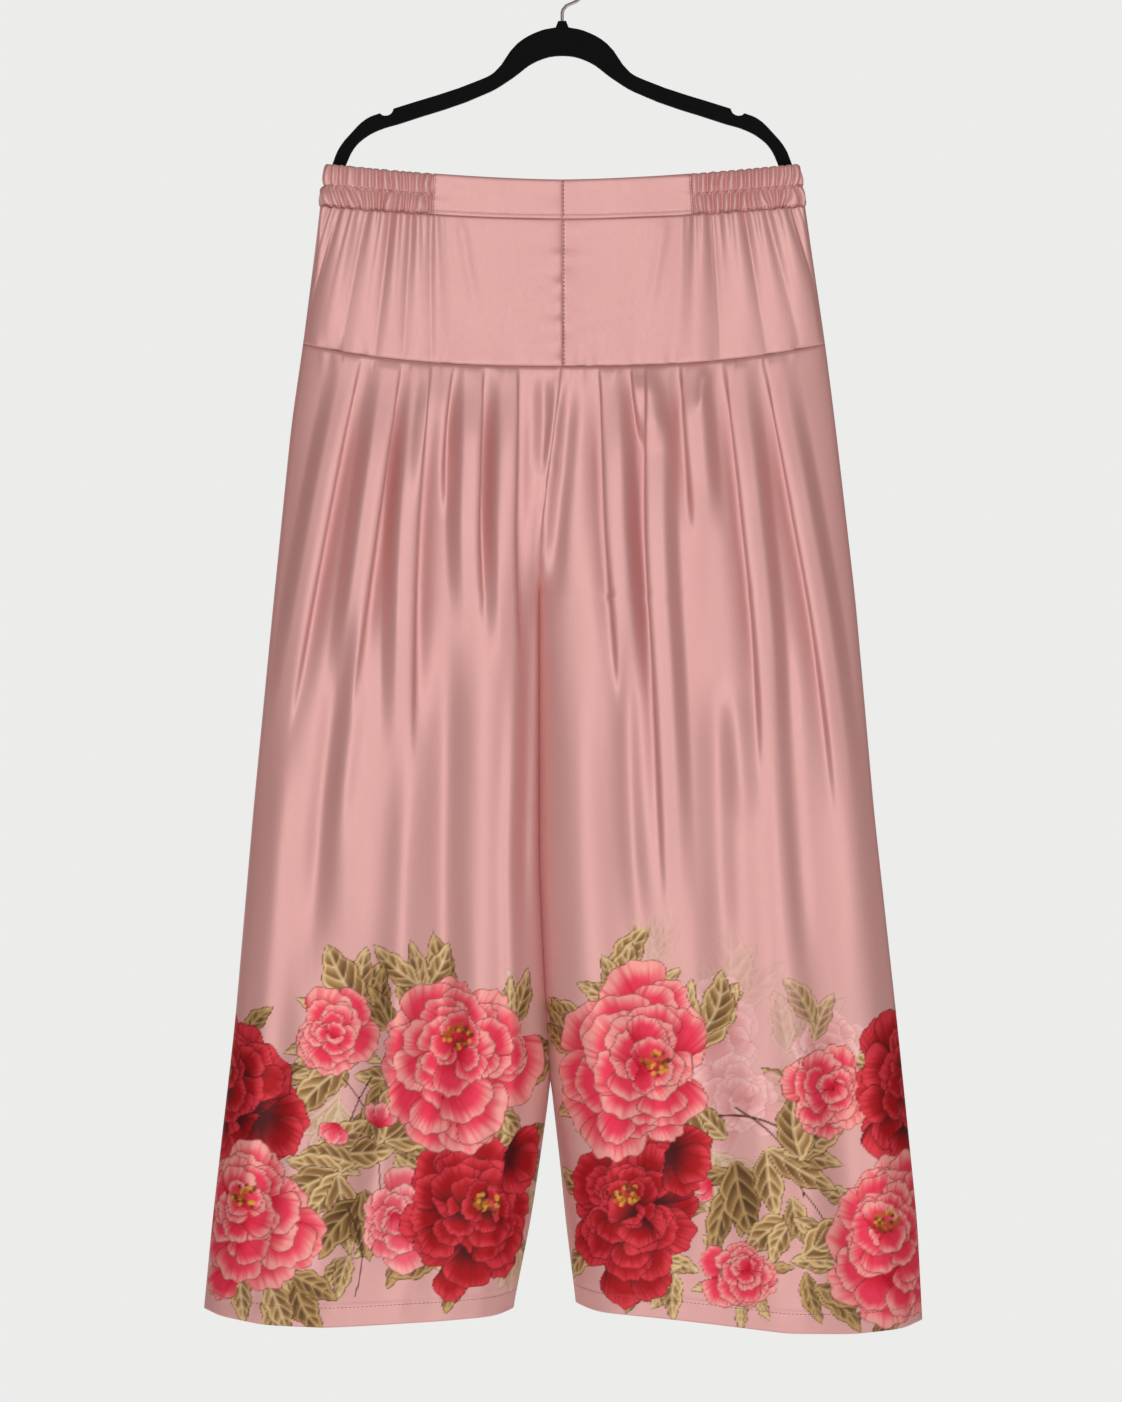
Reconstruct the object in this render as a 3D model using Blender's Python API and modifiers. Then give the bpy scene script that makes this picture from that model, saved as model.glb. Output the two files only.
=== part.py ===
"""Palazzo pants hanging on a plain hanger.

Units are metres, +Z is up, the front of the pants faces -Y and the wearer's left is +X.
The origin is where a rail touches the inside of the hanger's hook.

The cloth is built as walls through cross-sections.  Each section of the waistband and the
yoke is one flattened ring.  Below the yoke the ring parts into two leg tubes.  A section is
worked out from three tables: the outline, the line where the legs part, and the folds.
"""
from collections import namedtuple
import math

import bmesh
import bpy
import numpy as np

# ---------------------------------------------------------------- driving sizes (metres)
CLOTH = 0.0012            # thickness of a cloth wall
SEAM_GAP = 0.0003         # gap between two pieces that are sewn together
TURN = 0.0020             # straight stretch of a section beside a side seam or an inseam

BAND_TOP = -0.1960        # top edge of the waistband, at the centre
BAND_TOP_RISE = 0.0143    # how much higher that edge is at the side seams
BAND_TOP_POWER = 1.6
BAND_FOOT = -0.2306       # lower edge of the waistband, at the centre
BAND_FOOT_RISE = 0.0114
BAND_FOOT_POWER = 1.8
YOKE_FOOT = -0.3610       # seam between yoke and legs, at the centre
YOKE_FOOT_RISE = 0.0205
YOKE_FOOT_POWER = 2.6
CROTCH = -0.5600
RISE_CURVE_START = 0.10   # share of the rise below the yoke at which it starts to turn under

FLAT_BAND_SHARE = 0.54    # share of the half width that the flat front waistband takes
CHANNEL_SWELL = 0.0016    # how far an elastic channel swells between its stitch rows
CHANNELS = 2
BAND_HEM = 0.07           # share of the band's height that stays flat at each edge
YOKE_FOLD = 0.0022        # height of the folds that fan out below the elastic
YOKE_FOLD_WAVES = 3.5

PLEAT_STEP = 0.022        # share of a leg's width from a fold's edge to its valley
VALLEY_PART = -0.45       # depth of a fold's valley, as a part of the fold's height
EDGE_PART = 0.80          # height of its edge
SLOPE_PART = 0.15         # height half way to the next valley
INNER_CLOSE = 0.30        # share of a leg's width over which it closes towards its inseam
INNER_POWER = 4.0
SIDE_ANGLE = math.radians(50.0)   # where a section starts to turn towards the side seam

HANGER_GRIP = -0.1995     # height at which the hanger's ends hold the waistband from inside
GRIP_HALF_WIDTH = 0.2112  # half width of the waistband there
HANGER_REACH = GRIP_HALF_WIDTH - CLOTH / 2 - SEAM_GAP
HANGER_THICK = 0.0060     # front to back
HANGER_EDGE = 0.0008
WIRE_RADIUS = 0.0015
HOOK_RADIUS = 0.0200      # inside of the hook's loop
HOOK_SWEEP = math.radians(292.0)
HOOK_SOCKET_DEPTH = 0.0120
HOOK_CLEARANCE = 0.0003

# A row for each height: half width on the wearer's right and left, half depth, and how
# blunt the ring is at the side seams (the power of a superellipse).
Level = namedtuple("Level", "height right_half left_half half_depth bluntness")
OUTLINE = (
    Level(-0.1800, 0.2072, 0.2100, 0.0112, 30.0),
    Level(HANGER_GRIP, GRIP_HALF_WIDTH, GRIP_HALF_WIDTH, 0.0115, 30.0),
    Level(-0.2190, 0.2140, 0.2148, 0.0118, 30.0),
    Level(-0.2400, 0.2160, 0.2175, 0.0125, 18.0),
    Level(-0.3406, 0.2288, 0.2323, 0.0195, 7.0),
    Level(-0.4100, 0.2390, 0.2411, 0.0250, 4.5),
    Level(-0.5667, 0.2548, 0.2591, 0.0310, 4.0),
    Level(-0.7524, 0.2728, 0.2754, 0.0340, 4.0),
    Level(-0.9408, 0.2890, 0.2960, 0.0370, 4.0),
    Level(-1.1141, 0.3089, 0.3136, 0.0400, 4.0),
    Level(-1.2200, 0.3190, 0.3190, 0.0420, 4.0),
)

# A row for each height: where each leg's inner edge runs, as x.
Parting = namedtuple("Parting", "height right_inner left_inner")
PARTING = (
    Parting(-0.3610, 0.0000, 0.0000),
    Parting(-0.4300, -0.0090, -0.0090),
    Parting(-0.5000, -0.0175, -0.0175),
    Parting(-0.5600, -0.0202, -0.0202),
    Parting(-0.8000, -0.0200, -0.0200),
    Parting(-0.9000, -0.0155, -0.0155),
    Parting(-0.9900, -0.0100, -0.0100),
    Parting(-1.0630, -0.0202, -0.0015),
    Parting(-1.1150, -0.0282, 0.0035),
    Parting(-1.2000, -0.0455, 0.0142),
)

# A row for each share of a leg's width, from its inner edge to its side seam.
Hem = namedtuple("Hem", "across right_height left_height")
HEM = (
    Hem(0.00, -1.1900, -1.1850),
    Hem(0.05, -1.1950, -1.1910),
    Hem(0.20, -1.1980, -1.1950),
    Hem(0.40, -1.2020, -1.2020),
    Hem(0.60, -1.2050, -1.2100),
    Hem(0.80, -1.2030, -1.2110),
    Hem(0.95, -1.1960, -1.2070),
    Hem(1.00, -1.1900, -1.2000),
)

# A row for each fold: its place across the leg at the yoke, the thigh and the hem, and how
# far it stands proud there.
Fold = namedtuple("Fold", "at_yoke at_thigh at_hem proud_yoke proud_thigh proud_hem")
THIGH = -0.6000
FOLDS = {
    "front_right": (
        Fold(0.150, 0.110, 0.130, 0.0012, 0.0060, 0.0030),
        Fold(0.296, 0.235, 0.260, 0.0012, 0.0070, 0.0040),
        Fold(0.410, 0.365, 0.390, 0.0012, 0.0030, 0.0030),
        Fold(0.500, 0.460, 0.510, 0.0012, 0.0080, 0.0050),
        Fold(0.610, 0.640, 0.650, 0.0012, 0.0070, 0.0030),
        Fold(0.767, 0.805, 0.790, 0.0012, 0.0060, 0.0050),
    ),
    "front_left": (
        Fold(0.140, 0.240, 0.180, 0.0012, 0.0070, 0.0035),
        Fold(0.300, 0.350, 0.310, 0.0012, 0.0080, 0.0050),
        Fold(0.441, 0.480, 0.470, 0.0012, 0.0050, 0.0030),
        Fold(0.536, 0.585, 0.590, 0.0012, 0.0020, 0.0045),
        Fold(0.620, 0.670, 0.680, 0.0012, 0.0070, 0.0030),
        Fold(0.753, 0.800, 0.790, 0.0012, 0.0060, 0.0050),
    ),
    "back_right": (
        Fold(0.180, 0.170, 0.200, 0.0012, 0.0060, 0.0030),
        Fold(0.310, 0.300, 0.290, 0.0012, 0.0050, 0.0045),
        Fold(0.420, 0.400, 0.430, 0.0012, 0.0075, 0.0030),
        Fold(0.540, 0.530, 0.550, 0.0012, 0.0050, 0.0050),
        Fold(0.660, 0.680, 0.660, 0.0012, 0.0070, 0.0035),
        Fold(0.770, 0.800, 0.790, 0.0012, 0.0040, 0.0045),
    ),
    "back_left": (
        Fold(0.160, 0.190, 0.160, 0.0012, 0.0050, 0.0040),
        Fold(0.290, 0.320, 0.310, 0.0012, 0.0075, 0.0030),
        Fold(0.430, 0.440, 0.420, 0.0012, 0.0060, 0.0050),
        Fold(0.550, 0.560, 0.580, 0.0012, 0.0040, 0.0035),
        Fold(0.650, 0.670, 0.690, 0.0012, 0.0075, 0.0040),
        Fold(0.760, 0.795, 0.790, 0.0012, 0.0050, 0.0050),
    ),
}

# The hanger's right-hand outlines, from the middle to the trouser bar: x and z of each
# point, and whether the curve runs smoothly through it.
Corner = namedtuple("Corner", "x z smooth")
HANGER_OUTER = (
    Corner(0.0035, -0.0550, False),
    Corner(0.0057, -0.0607, False),
    Corner(0.0194, -0.0637, True),
    Corner(0.0396, -0.0750, True),
    Corner(0.0598, -0.1002, True),
    Corner(0.0722, -0.1069, True),
    Corner(0.1487, -0.1324, False),
    Corner(0.1515, -0.1372, True),
    Corner(0.1580, -0.1385, True),
    Corner(0.1610, -0.1365, False),
    Corner(0.1725, -0.1412, True),
    Corner(0.1866, -0.1544, True),
    Corner(0.1971, -0.1676, True),
    Corner(0.2030, -0.1817, True),
    Corner(HANGER_REACH, HANGER_GRIP, True),
    Corner(0.2030, -0.2105, True),
    Corner(0.1950, -0.2125, False),
)
HANGER_INNER = (
    Corner(0.0000, -0.0856, True),
    Corner(0.0229, -0.0907, True),
    Corner(0.0440, -0.1055, True),
    Corner(0.0634, -0.1174, True),
    Corner(0.1431, -0.1456, False),
    Corner(0.1619, -0.1514, True),
    Corner(0.1751, -0.1588, True),
    Corner(0.1839, -0.1676, True),
    Corner(0.1910, -0.1822, True),
    Corner(0.1965, -0.1960, True),
    Corner(0.1900, -0.2030, False),
)

Finish = namedtuple("Finish", "color roughness metallic")
SATIN = Finish((0.73, 0.40, 0.37, 1.0), 0.42, 0.0)
HANGER_BLACK = Finish((0.012, 0.012, 0.013, 1.0), 0.80, 0.0)
WIRE_STEEL = Finish((0.42, 0.42, 0.43, 1.0), 0.30, 1.0)

SIDES = {"right": -1, "left": 1}
FACES = {"front": -1, "back": 1}


# ---------------------------------------------------------------- sizes at a height
def column(table, name, at, key="height"):
    """The value of one named column at a height (or at another key), between its rows."""
    rows = sorted(table, key=lambda row: getattr(row, key))
    keys = [getattr(row, key) for row in rows]
    values = [getattr(row, name) for row in rows]
    return float(np.interp(at, keys, values))


def half_width(side, z):
    return column(OUTLINE, side + "_half", z)


def half_depth(z):
    return column(OUTLINE, "half_depth", z)


def bluntness(z):
    return column(OUTLINE, "bluntness", z)


def band_top(share):
    return BAND_TOP + BAND_TOP_RISE * share ** BAND_TOP_POWER


def band_foot(share):
    return BAND_FOOT + BAND_FOOT_RISE * share ** BAND_FOOT_POWER


def yoke_foot(share):
    return YOKE_FOOT + YOKE_FOOT_RISE * share ** YOKE_FOOT_POWER


def hem(side, share):
    return column(HEM, side + "_height", share, key="across")


# ---------------------------------------------------------------- sections
def ring_depth(share, z):
    """Distance of the ring from the middle plane, at a share of its half width."""
    reach = half_depth(z) - TURN
    return TURN + reach * math.sqrt(max(0.0, 1.0 - share ** bluntness(z)))


def side_share(angle, z):
    """Share of the half width at an angle of the superellipse."""
    return math.sin(angle) ** (2.0 / bluntness(z))


def turning_shares(z, steps):
    """Shares from where the section starts to turn to the side seam itself."""
    angles = np.linspace(SIDE_ANGLE, math.pi / 2, steps)
    return [side_share(angle, z) for angle in angles]


def torso_point(side, face, share, z, swell=0.0, at_seam=False):
    """A point of the waistband or the yoke."""
    start = SEAM_GAP / 2
    x = start + (half_width(side, z) + swell - start) * share
    y = SEAM_GAP / 2 if at_seam else ring_depth(share, z) + swell
    return (SIDES[side] * x, FACES[face] * y, z)


def torso_column(side, face, share_at, top_at, foot_at, heights, swell_at, at_seam=False):
    """One column of points from a piece's top edge to its lower edge."""
    points = []
    for height in heights:
        middle = band_foot(0.5)
        share = share_at(middle)
        top = top_at(share)
        foot = foot_at(share)
        z = top + (foot - top) * height
        points.append(torso_point(side, face, share_at(z), z, swell_at(height, share), at_seam))
    return points


def channel_swell(height, share):
    """How far the elastic channels swell between their stitch rows."""
    inside = min(1.0, max(0.0, (height - BAND_HEM) / (1.0 - 2.0 * BAND_HEM)))
    return CHANNEL_SWELL * math.sin(math.pi * CHANNELS * inside) ** 2


def no_swell(height, share):
    return 0.0


def yoke_swell(height, share):
    """Folds that fan out below the elastic and die away above the leg seam."""
    outward = min(1.0, max(0.0, (share - 0.45) / 0.3)) * min(1.0, (1.0 - share) / 0.08)
    fade = math.sin(math.pi * min(1.0, height / 0.85)) * (1.0 - 0.5 * height)
    wave = math.cos(2.0 * math.pi * YOKE_FOLD_WAVES * share)
    return YOKE_FOLD * outward * fade * wave


# ---------------------------------------------------------------- legs
def fold_place(fold, z):
    heights = (-1.200, THIGH, YOKE_FOOT)
    return float(np.interp(z, heights, (fold.at_hem, fold.at_thigh, fold.at_yoke)))


def fold_proud(fold, z):
    heights = (-1.200, -0.900, THIGH, -0.430, YOKE_FOOT)
    middle = 0.5 * (fold.proud_thigh + fold.proud_hem)
    values = (fold.proud_hem, middle, fold.proud_thigh, 0.8 * fold.proud_thigh, fold.proud_yoke)
    return float(np.interp(z, heights, values))


def leg_shares(folds, z, openness):
    """Shares across a leg and how far the cloth stands proud there."""
    shares = [(0.0, 0.0), (0.006 * openness, 0.0), (0.021, 0.0), (0.055, 0.0)]
    places = [fold_place(fold, z) for fold in folds]
    ends = places[1:] + [side_share(SIDE_ANGLE, z) + PLEAT_STEP]
    for fold, place, end in zip(folds, places, ends):
        proud = fold_proud(fold, z)
        shares.append((place - PLEAT_STEP, VALLEY_PART * proud))
        shares.append((place, EDGE_PART * proud))
        shares.append(((place + end - PLEAT_STEP) / 2, SLOPE_PART * proud))
    for share in turning_shares(z, 4):
        shares.append((share, 0.0))
    shares.append((1.0, 0.0))
    return shares


def rise_openness(row, crotch_row):
    """1 where a centre seam lies flat, 0 from the crotch down, where a leg is a tube."""
    start = crotch_row * RISE_CURVE_START
    turned = min(1.0, max(0.0, (row - start) / (crotch_row - start)))
    return math.sqrt(1.0 - turned ** 2)


def leg_depth(share, z, openness):
    """Distance of a leg's section from the middle plane."""
    nearness = 1.0 - min(1.0, share / INNER_CLOSE)
    closing = math.sqrt(1.0 - (1.0 - openness ** 2) * nearness ** INNER_POWER)
    return TURN + (ring_depth(share, z) - TURN) * closing


def leg_row(side, face, row, crotch_row):
    """The points of one section of a leg's front or back, from its inner to its outer edge."""
    openness = rise_openness(row, crotch_row)
    middle_z = yoke_foot(0.5) + (hem(side, 0.5) - yoke_foot(0.5)) * row
    stations = leg_shares(FOLDS[face + "_" + side], middle_z, openness)
    points = []
    for index, (share, proud) in enumerate(stations):
        share = min(1.0, share)
        top = yoke_foot(share) - SEAM_GAP / 2
        z = top + (hem(side, share) - top) * row
        edge_room = SEAM_GAP / 2 + (CLOTH / 2 + 0.0001) * math.sqrt(1.0 - openness ** 2)
        inner = column(PARTING, side + "_inner", z) + SIDES[side] * edge_room
        outer = SIDES[side] * half_width(side, z)
        x = inner + (outer - inner) * share
        y = leg_depth(share, z, openness) + proud
        if index == 0:
            y = SEAM_GAP / 2 + (half_depth(z) - SEAM_GAP / 2) * openness
        if index == len(stations) - 1:
            y = SEAM_GAP / 2
        points.append((x, FACES[face] * y, z))
    return points


def leg_grid(side, face):
    top = yoke_foot(0.0)
    crotch_row = (CROTCH - top) / (hem(side, 0.0) - top)
    upper = [crotch_row * step for step in (0.0, 0.14, 0.32, 0.52, 0.70, 0.86, 1.0)]
    lower = [crotch_row + (1.0 - crotch_row) * step / 10 for step in range(1, 11)]
    return [leg_row(side, face, row, crotch_row) for row in upper + lower]


# ---------------------------------------------------------------- waistband and yoke
def flat_shares(steps, start=0.0):
    """Shares of the half width on the flat of the ring, as functions of the height."""
    def at(step):
        return lambda z: start + (side_share(SIDE_ANGLE, z) - start) * step / steps
    return [at(step) for step in range(steps + 1)]


def turn_shares(steps):
    """Shares from where the ring starts to turn to its side seam."""
    def at(step):
        angle = SIDE_ANGLE + (math.pi / 2 - SIDE_ANGLE) * step / steps
        return lambda z: side_share(angle, z)
    return [at(step) for step in range(1, steps + 1)]


def below(edge, gap):
    return lambda share: edge(share) - gap


def yoke_grid(side, face):
    heights = (0.0, 0.12, 0.35, 0.62, 1.0)
    top_at = below(band_foot, SEAM_GAP / 2)
    foot_at = below(yoke_foot, -SEAM_GAP / 2)
    shares = flat_shares(10) + turn_shares(3)
    columns = [torso_column(side, face, share, top_at, foot_at, heights, yoke_swell)
               for share in shares]
    columns.append(torso_column(side, face, shares[-1], top_at, foot_at, heights, no_swell, True))
    return list(zip(*columns))


def flat_band_grid(side):
    heights = (0.0, 0.5, 1.0)
    foot_at = below(band_foot, -SEAM_GAP / 2)

    def share_at(step):
        return lambda z: FLAT_BAND_SHARE * step / 5
    columns = [torso_column(side, "front", share_at(step), band_top, foot_at, heights, no_swell)
               for step in range(6)]
    return list(zip(*columns))


def elastic_band_grid(side):
    """From the flat front band round the side to the centre back."""
    heights = (0.0, 0.28, 0.5, 0.72, 1.0 - BAND_HEM, 1.0)
    foot_at = below(band_foot, -SEAM_GAP / 2)
    start = FLAT_BAND_SHARE + SEAM_GAP / half_width(side, BAND_TOP)
    front = flat_shares(6, start=start) + turn_shares(3)
    back = flat_shares(9) + turn_shares(3)
    columns = [torso_column(side, "front", share, band_top, foot_at, heights, channel_swell)
               for share in front]
    columns += [torso_column(side, "back", share, band_top, foot_at, heights, channel_swell)
                for share in reversed(back)]
    return list(zip(*columns))


# ---------------------------------------------------------------- making objects
def material(name, finish):
    made = bpy.data.materials.new(name)
    made.use_nodes = True
    shader = made.node_tree.nodes["Principled BSDF"]
    shader.inputs["Base Color"].default_value = finish.color
    shader.inputs["Roughness"].default_value = finish.roughness
    shader.inputs["Metallic"].default_value = finish.metallic
    made.diffuse_color = finish.color
    return made


def new_object(name, data, collection, finish):
    made = bpy.data.objects.new(name, data)
    collection.objects.link(made)
    if finish is not None:
        data.materials.append(material(name, finish))
    return made


def cloth_panel(name, grid, collection, facing_out):
    """A cloth wall on a grid of points: an open surface, thickened evenly both ways."""
    rows = len(grid)
    columns = len(grid[0])
    points = [point for row in grid for point in row]
    faces = []
    for row in range(rows - 1):
        for step in range(columns - 1):
            corner = row * columns + step
            face = (corner, corner + 1, corner + columns + 1, corner + columns)
            faces.append(face if facing_out else face[::-1])
    mesh = bpy.data.meshes.new(name)
    mesh.from_pydata(points, [], faces)
    mesh.update()
    panel = new_object(name, mesh, collection, SATIN)
    wall = panel.modifiers.new("cloth wall", "SOLIDIFY")
    wall.thickness = CLOTH
    wall.offset = 0.0
    mesh.shade_smooth()
    return panel


def faces_out(side, face):
    """Whether a grid that runs outwards and downwards already faces out of the garment."""
    return SIDES[side] * FACES[face] > 0


def make_cloth(collection):
    for side in SIDES:
        cloth_panel("waistband_front_" + side, flat_band_grid(side), collection,
                    faces_out(side, "front"))
        cloth_panel("waistband_elastic_" + side, elastic_band_grid(side), collection,
                    faces_out(side, "front"))
        for face in FACES:
            cloth_panel("yoke_{}_{}".format(face, side), yoke_grid(side, face), collection,
                        faces_out(side, face))
            cloth_panel("leg_{}_{}".format(face, side), leg_grid(side, face), collection,
                        faces_out(side, face))


def outline_points(corners):
    """A half outline and its mirror image, as one closed ring of corners."""
    mirrored = [Corner(-c.x, c.z, c.smooth) for c in reversed(corners) if c.x > 0.0]
    return list(corners) + mirrored


def add_outline(curve, corners):
    ring = outline_points(corners)
    spline = curve.splines.new("BEZIER")
    spline.bezier_points.add(len(ring) - 1)
    for point, corner in zip(spline.bezier_points, ring):
        point.co = (corner.x, corner.z, 0.0)
        kind = "AUTO" if corner.smooth else "VECTOR"
        point.handle_left_type = kind
        point.handle_right_type = kind
    spline.use_cyclic_u = True
    spline.resolution_u = 4


def as_mesh_object(curve_object, name, collection, finish):
    """A curve object turned into a mesh object with its caps welded on."""
    bpy.context.view_layer.update()
    graph = bpy.context.evaluated_depsgraph_get()
    mesh = bpy.data.meshes.new_from_object(curve_object.evaluated_get(graph))
    mesh.name = name
    work = bmesh.new()
    work.from_mesh(mesh)
    bmesh.ops.remove_doubles(work, verts=work.verts, dist=0.00001)
    work.to_mesh(mesh)
    work.free()
    mesh.materials.clear()
    made = new_object(name, mesh, collection, finish)
    made.matrix_world = curve_object.matrix_world.copy()
    bpy.data.objects.remove(curve_object)
    return made


def make_hanger_body(collection, cutters):
    """A flat plastic frame: two arms, rounded ends and a trouser bar."""
    curve = bpy.data.curves.new("hanger outline", "CURVE")
    curve.dimensions = "2D"
    curve.fill_mode = "BOTH"
    curve.extrude = HANGER_THICK / 2
    add_outline(curve, HANGER_OUTER)
    add_outline(curve, HANGER_INNER)
    flat = new_object("hanger outline", curve, collection, None)
    flat.rotation_euler = (math.pi / 2, 0.0, 0.0)
    body = as_mesh_object(flat, "hanger_body", collection, HANGER_BLACK)

    top = HANGER_OUTER[0].z
    bpy.ops.mesh.primitive_cylinder_add(vertices=24, radius=WIRE_RADIUS + HOOK_CLEARANCE,
                                        depth=2 * HOOK_SOCKET_DEPTH, location=(0.0, 0.0, top))
    socket = bpy.context.object
    socket.name = "hook socket cutter"
    socket.hide_render = True
    socket.display_type = "WIRE"
    for owner in list(socket.users_collection):
        owner.objects.unlink(socket)
    cutters.objects.link(socket)
    cut = body.modifiers.new("hook socket", "BOOLEAN")
    cut.object = socket
    cut.operation = "DIFFERENCE"
    cut.solver = "EXACT"
    rounded = body.modifiers.new("soft edges", "BEVEL")
    rounded.width = HANGER_EDGE
    rounded.segments = 1
    rounded.limit_method = "ANGLE"
    rounded.angle_limit = math.radians(70.0)
    return body


def hook_path():
    """The wire's middle line: up out of its socket, round the rail and out to its tip."""
    bend = HOOK_RADIUS + WIRE_RADIUS
    middle_z = -HOOK_RADIUS
    stem_end = middle_z - bend - 0.0065
    start = HANGER_OUTER[0].z - HOOK_SOCKET_DEPTH + HOOK_CLEARANCE
    points = [(0.0, z) for z in np.linspace(start, stem_end, 6)]
    first = -math.pi / 2 + math.radians(34.0)
    join_x = bend * math.cos(first)
    join_z = middle_z + bend * math.sin(first)
    for part in (0.3, 0.65):
        ease = part ** 2
        points.append((join_x * ease * 0.75, stem_end + (join_z - stem_end) * part))
    for angle in np.linspace(first, first + HOOK_SWEEP - math.radians(34.0), 34):
        points.append((bend * math.cos(angle), middle_z + bend * math.sin(angle)))
    return points


def make_hanger_hook(collection):
    curve = bpy.data.curves.new("hanger_hook", "CURVE")
    curve.dimensions = "3D"
    curve.bevel_depth = WIRE_RADIUS
    curve.bevel_resolution = 2
    curve.use_fill_caps = True
    path = hook_path()
    spline = curve.splines.new("POLY")
    spline.points.add(len(path) - 1)
    for point, (x, z) in zip(spline.points, path):
        point.co = (x, 0.0, z, 1.0)
    spline.use_smooth = True
    return new_object("hanger_hook", curve, collection, WIRE_STEEL)


def main():
    for old in list(bpy.data.objects):
        bpy.data.objects.remove(old)
    pants = bpy.data.collections.new("palazzo_pants_on_hanger")
    cutters = bpy.data.collections.new("cutters")
    bpy.context.scene.collection.children.link(pants)
    bpy.context.scene.collection.children.link(cutters)
    make_cloth(pants)
    make_hanger_body(pants, cutters)
    make_hanger_hook(pants)


main()
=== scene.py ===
"""The finish of a pair of palazzo pants on a hanger: satin cloth, its folds, seams and print.

Units are metres, +Z is up, the front faces -Y and the wearer's left is +X.  Each cloth piece
is a thin shell on the form of its solid.  A leg's sections come from the outline and the
parting line, and the pleats and folds are laid on them from tables of their own sizes.
"""
import math
from collections import namedtuple

import bpy
import numpy as np
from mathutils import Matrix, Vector


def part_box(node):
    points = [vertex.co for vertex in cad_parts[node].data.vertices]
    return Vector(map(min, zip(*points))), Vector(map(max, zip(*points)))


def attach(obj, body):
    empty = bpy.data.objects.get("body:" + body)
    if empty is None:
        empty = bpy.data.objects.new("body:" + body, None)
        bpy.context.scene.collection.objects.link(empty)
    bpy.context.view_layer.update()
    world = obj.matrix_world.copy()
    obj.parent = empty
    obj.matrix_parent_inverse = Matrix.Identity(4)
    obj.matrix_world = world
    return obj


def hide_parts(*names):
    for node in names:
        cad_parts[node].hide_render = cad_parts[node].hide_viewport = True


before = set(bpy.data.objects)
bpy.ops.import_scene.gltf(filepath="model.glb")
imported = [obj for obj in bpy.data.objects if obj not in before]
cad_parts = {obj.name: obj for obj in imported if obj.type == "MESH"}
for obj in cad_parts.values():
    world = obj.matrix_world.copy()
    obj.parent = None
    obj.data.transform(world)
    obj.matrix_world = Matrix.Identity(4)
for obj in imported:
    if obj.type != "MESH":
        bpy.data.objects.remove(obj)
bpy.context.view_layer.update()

# ---------------------------------------------------------------- places read from the frame
WAIST_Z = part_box("waistband_elastic_left")[1].z
HEM_Z = min(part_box("leg_front_left")[0].z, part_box("leg_front_right")[0].z)
LENGTH = WAIST_Z - HEM_Z
SIDES = {"right": -1, "left": 1}
FACES = {"front": -1, "back": 1}

# ---------------------------------------------------------------- driving sizes (metres)
SEAM_GAP = 0.0003
TURN = 0.0020             # straight stretch of a section beside a side seam or an inseam
ALLOWANCE = 0.0050        # cloth turned in at a seam
BAND_STITCH = 0.0035      # height of the flat band's stitches over its foot
HEM_STITCH = 0.0170       # height of the hem's stitches over its edge
HEM_TURN = 0.0180         # cloth turned up inside the hem
HEM_LINE = 0.0185         # height of the shallow line that the hem's stitches pull in
HEM_LINE_DEPTH = 0.0004
FACING = 0.0200           # cloth turned down inside the waist
DIP = 0.0005              # how far a seam's edge rolls in behind the surface
DIP_REACH = 0.00045       # how far it goes under its neighbour
TURN_BACK = 0.0015        # how far the allowance behind it turns back
ALL_THE_WAY = 1.0         # a pull that takes any point to the middle plane
CLOTH_INSET = 0.0002      # the shell lies this far inside the solid's middle surface

BAND_TOP = -0.1960
BAND_TOP_RISE = 0.0143
BAND_TOP_POWER = 1.6
BAND_FOOT = -0.2306
BAND_FOOT_RISE = 0.0114
BAND_FOOT_POWER = 1.8
YOKE_FOOT = -0.3610
YOKE_FOOT_RISE = 0.0205
YOKE_FOOT_POWER = 2.6
CROTCH = -0.5600
RISE_CURVE_START = 0.10
FLAT_BAND_SHARE = 0.54
FOOT_PINCH = 0.0006       # how far the gathers pull the elastic band's foot up and down
INNER_CLOSE = 0.30
INNER_POWER = 4.0
PRINT_TOP = -0.8600       # nothing is printed above this height
INSEAM_LAP = 0.0009       # the legs' inner edges pass each other by this much where they touch
INSEAM_OPEN = 0.0040      # legs further apart than this no longer touch
PLEAT_SCALE = 1.25        # pleats stand this much prouder than their table's heights
PLEAT_FALL = 0.030        # a pleat's top layer sinks back over this distance
PLEAT_FLAT = 0.50         # the part of that distance over which it stays flat
VALLEY_PART = 0.60        # depth of a pleat's valley beside its height
VALLEY_WIDTH = 0.012
BACK_FOLDS = 0.65         # the back's folds stand out this much beside their table's heights
SOFT_WIDTH = 1.30         # soft folds are this much wider and lower than their tables say
SOFT_HEIGHT = 0.90
LAP_LIFT = 0.0016         # the left leg's inner fold stands this far over the right one's
LAP_REACH = 0.0060
EDGE_INNER = 0.030        # shares of a leg beside its inner and outer edge where folds fade out
EDGE_OUTER = 0.035

# Uneven cloth: a ripple's height, and its length across the cloth and down it.
Ripple = namedtuple("Ripple", "height across down")
LONG_WAVES = Ripple(0.0014, 0.034, 0.260)
SHORT_WAVES = Ripple(0.0003, 0.015, 0.130)
INSEAM_PUCKER = Ripple(0.0010, 0.030, 0.009)
RISE_PUCKER = Ripple(0.0009, 0.030, 0.008)
LEG_TOP_PUCKER = Ripple(0.0007, 0.006, 0.060)
HEM_PUCKER = Ripple(0.0006, 0.010, 0.080)
YOKE_SEAM_PUCKER = Ripple(0.0011, 0.020, 0.0085)
YOKE_FOOT_PUCKER = Ripple(0.0008, 0.008, 0.050)
BAND_SOFTNESS = Ripple(0.0005, 0.030, 0.016)
BAND_PULL = Ripple(0.0006, 0.030, 0.005)

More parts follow.
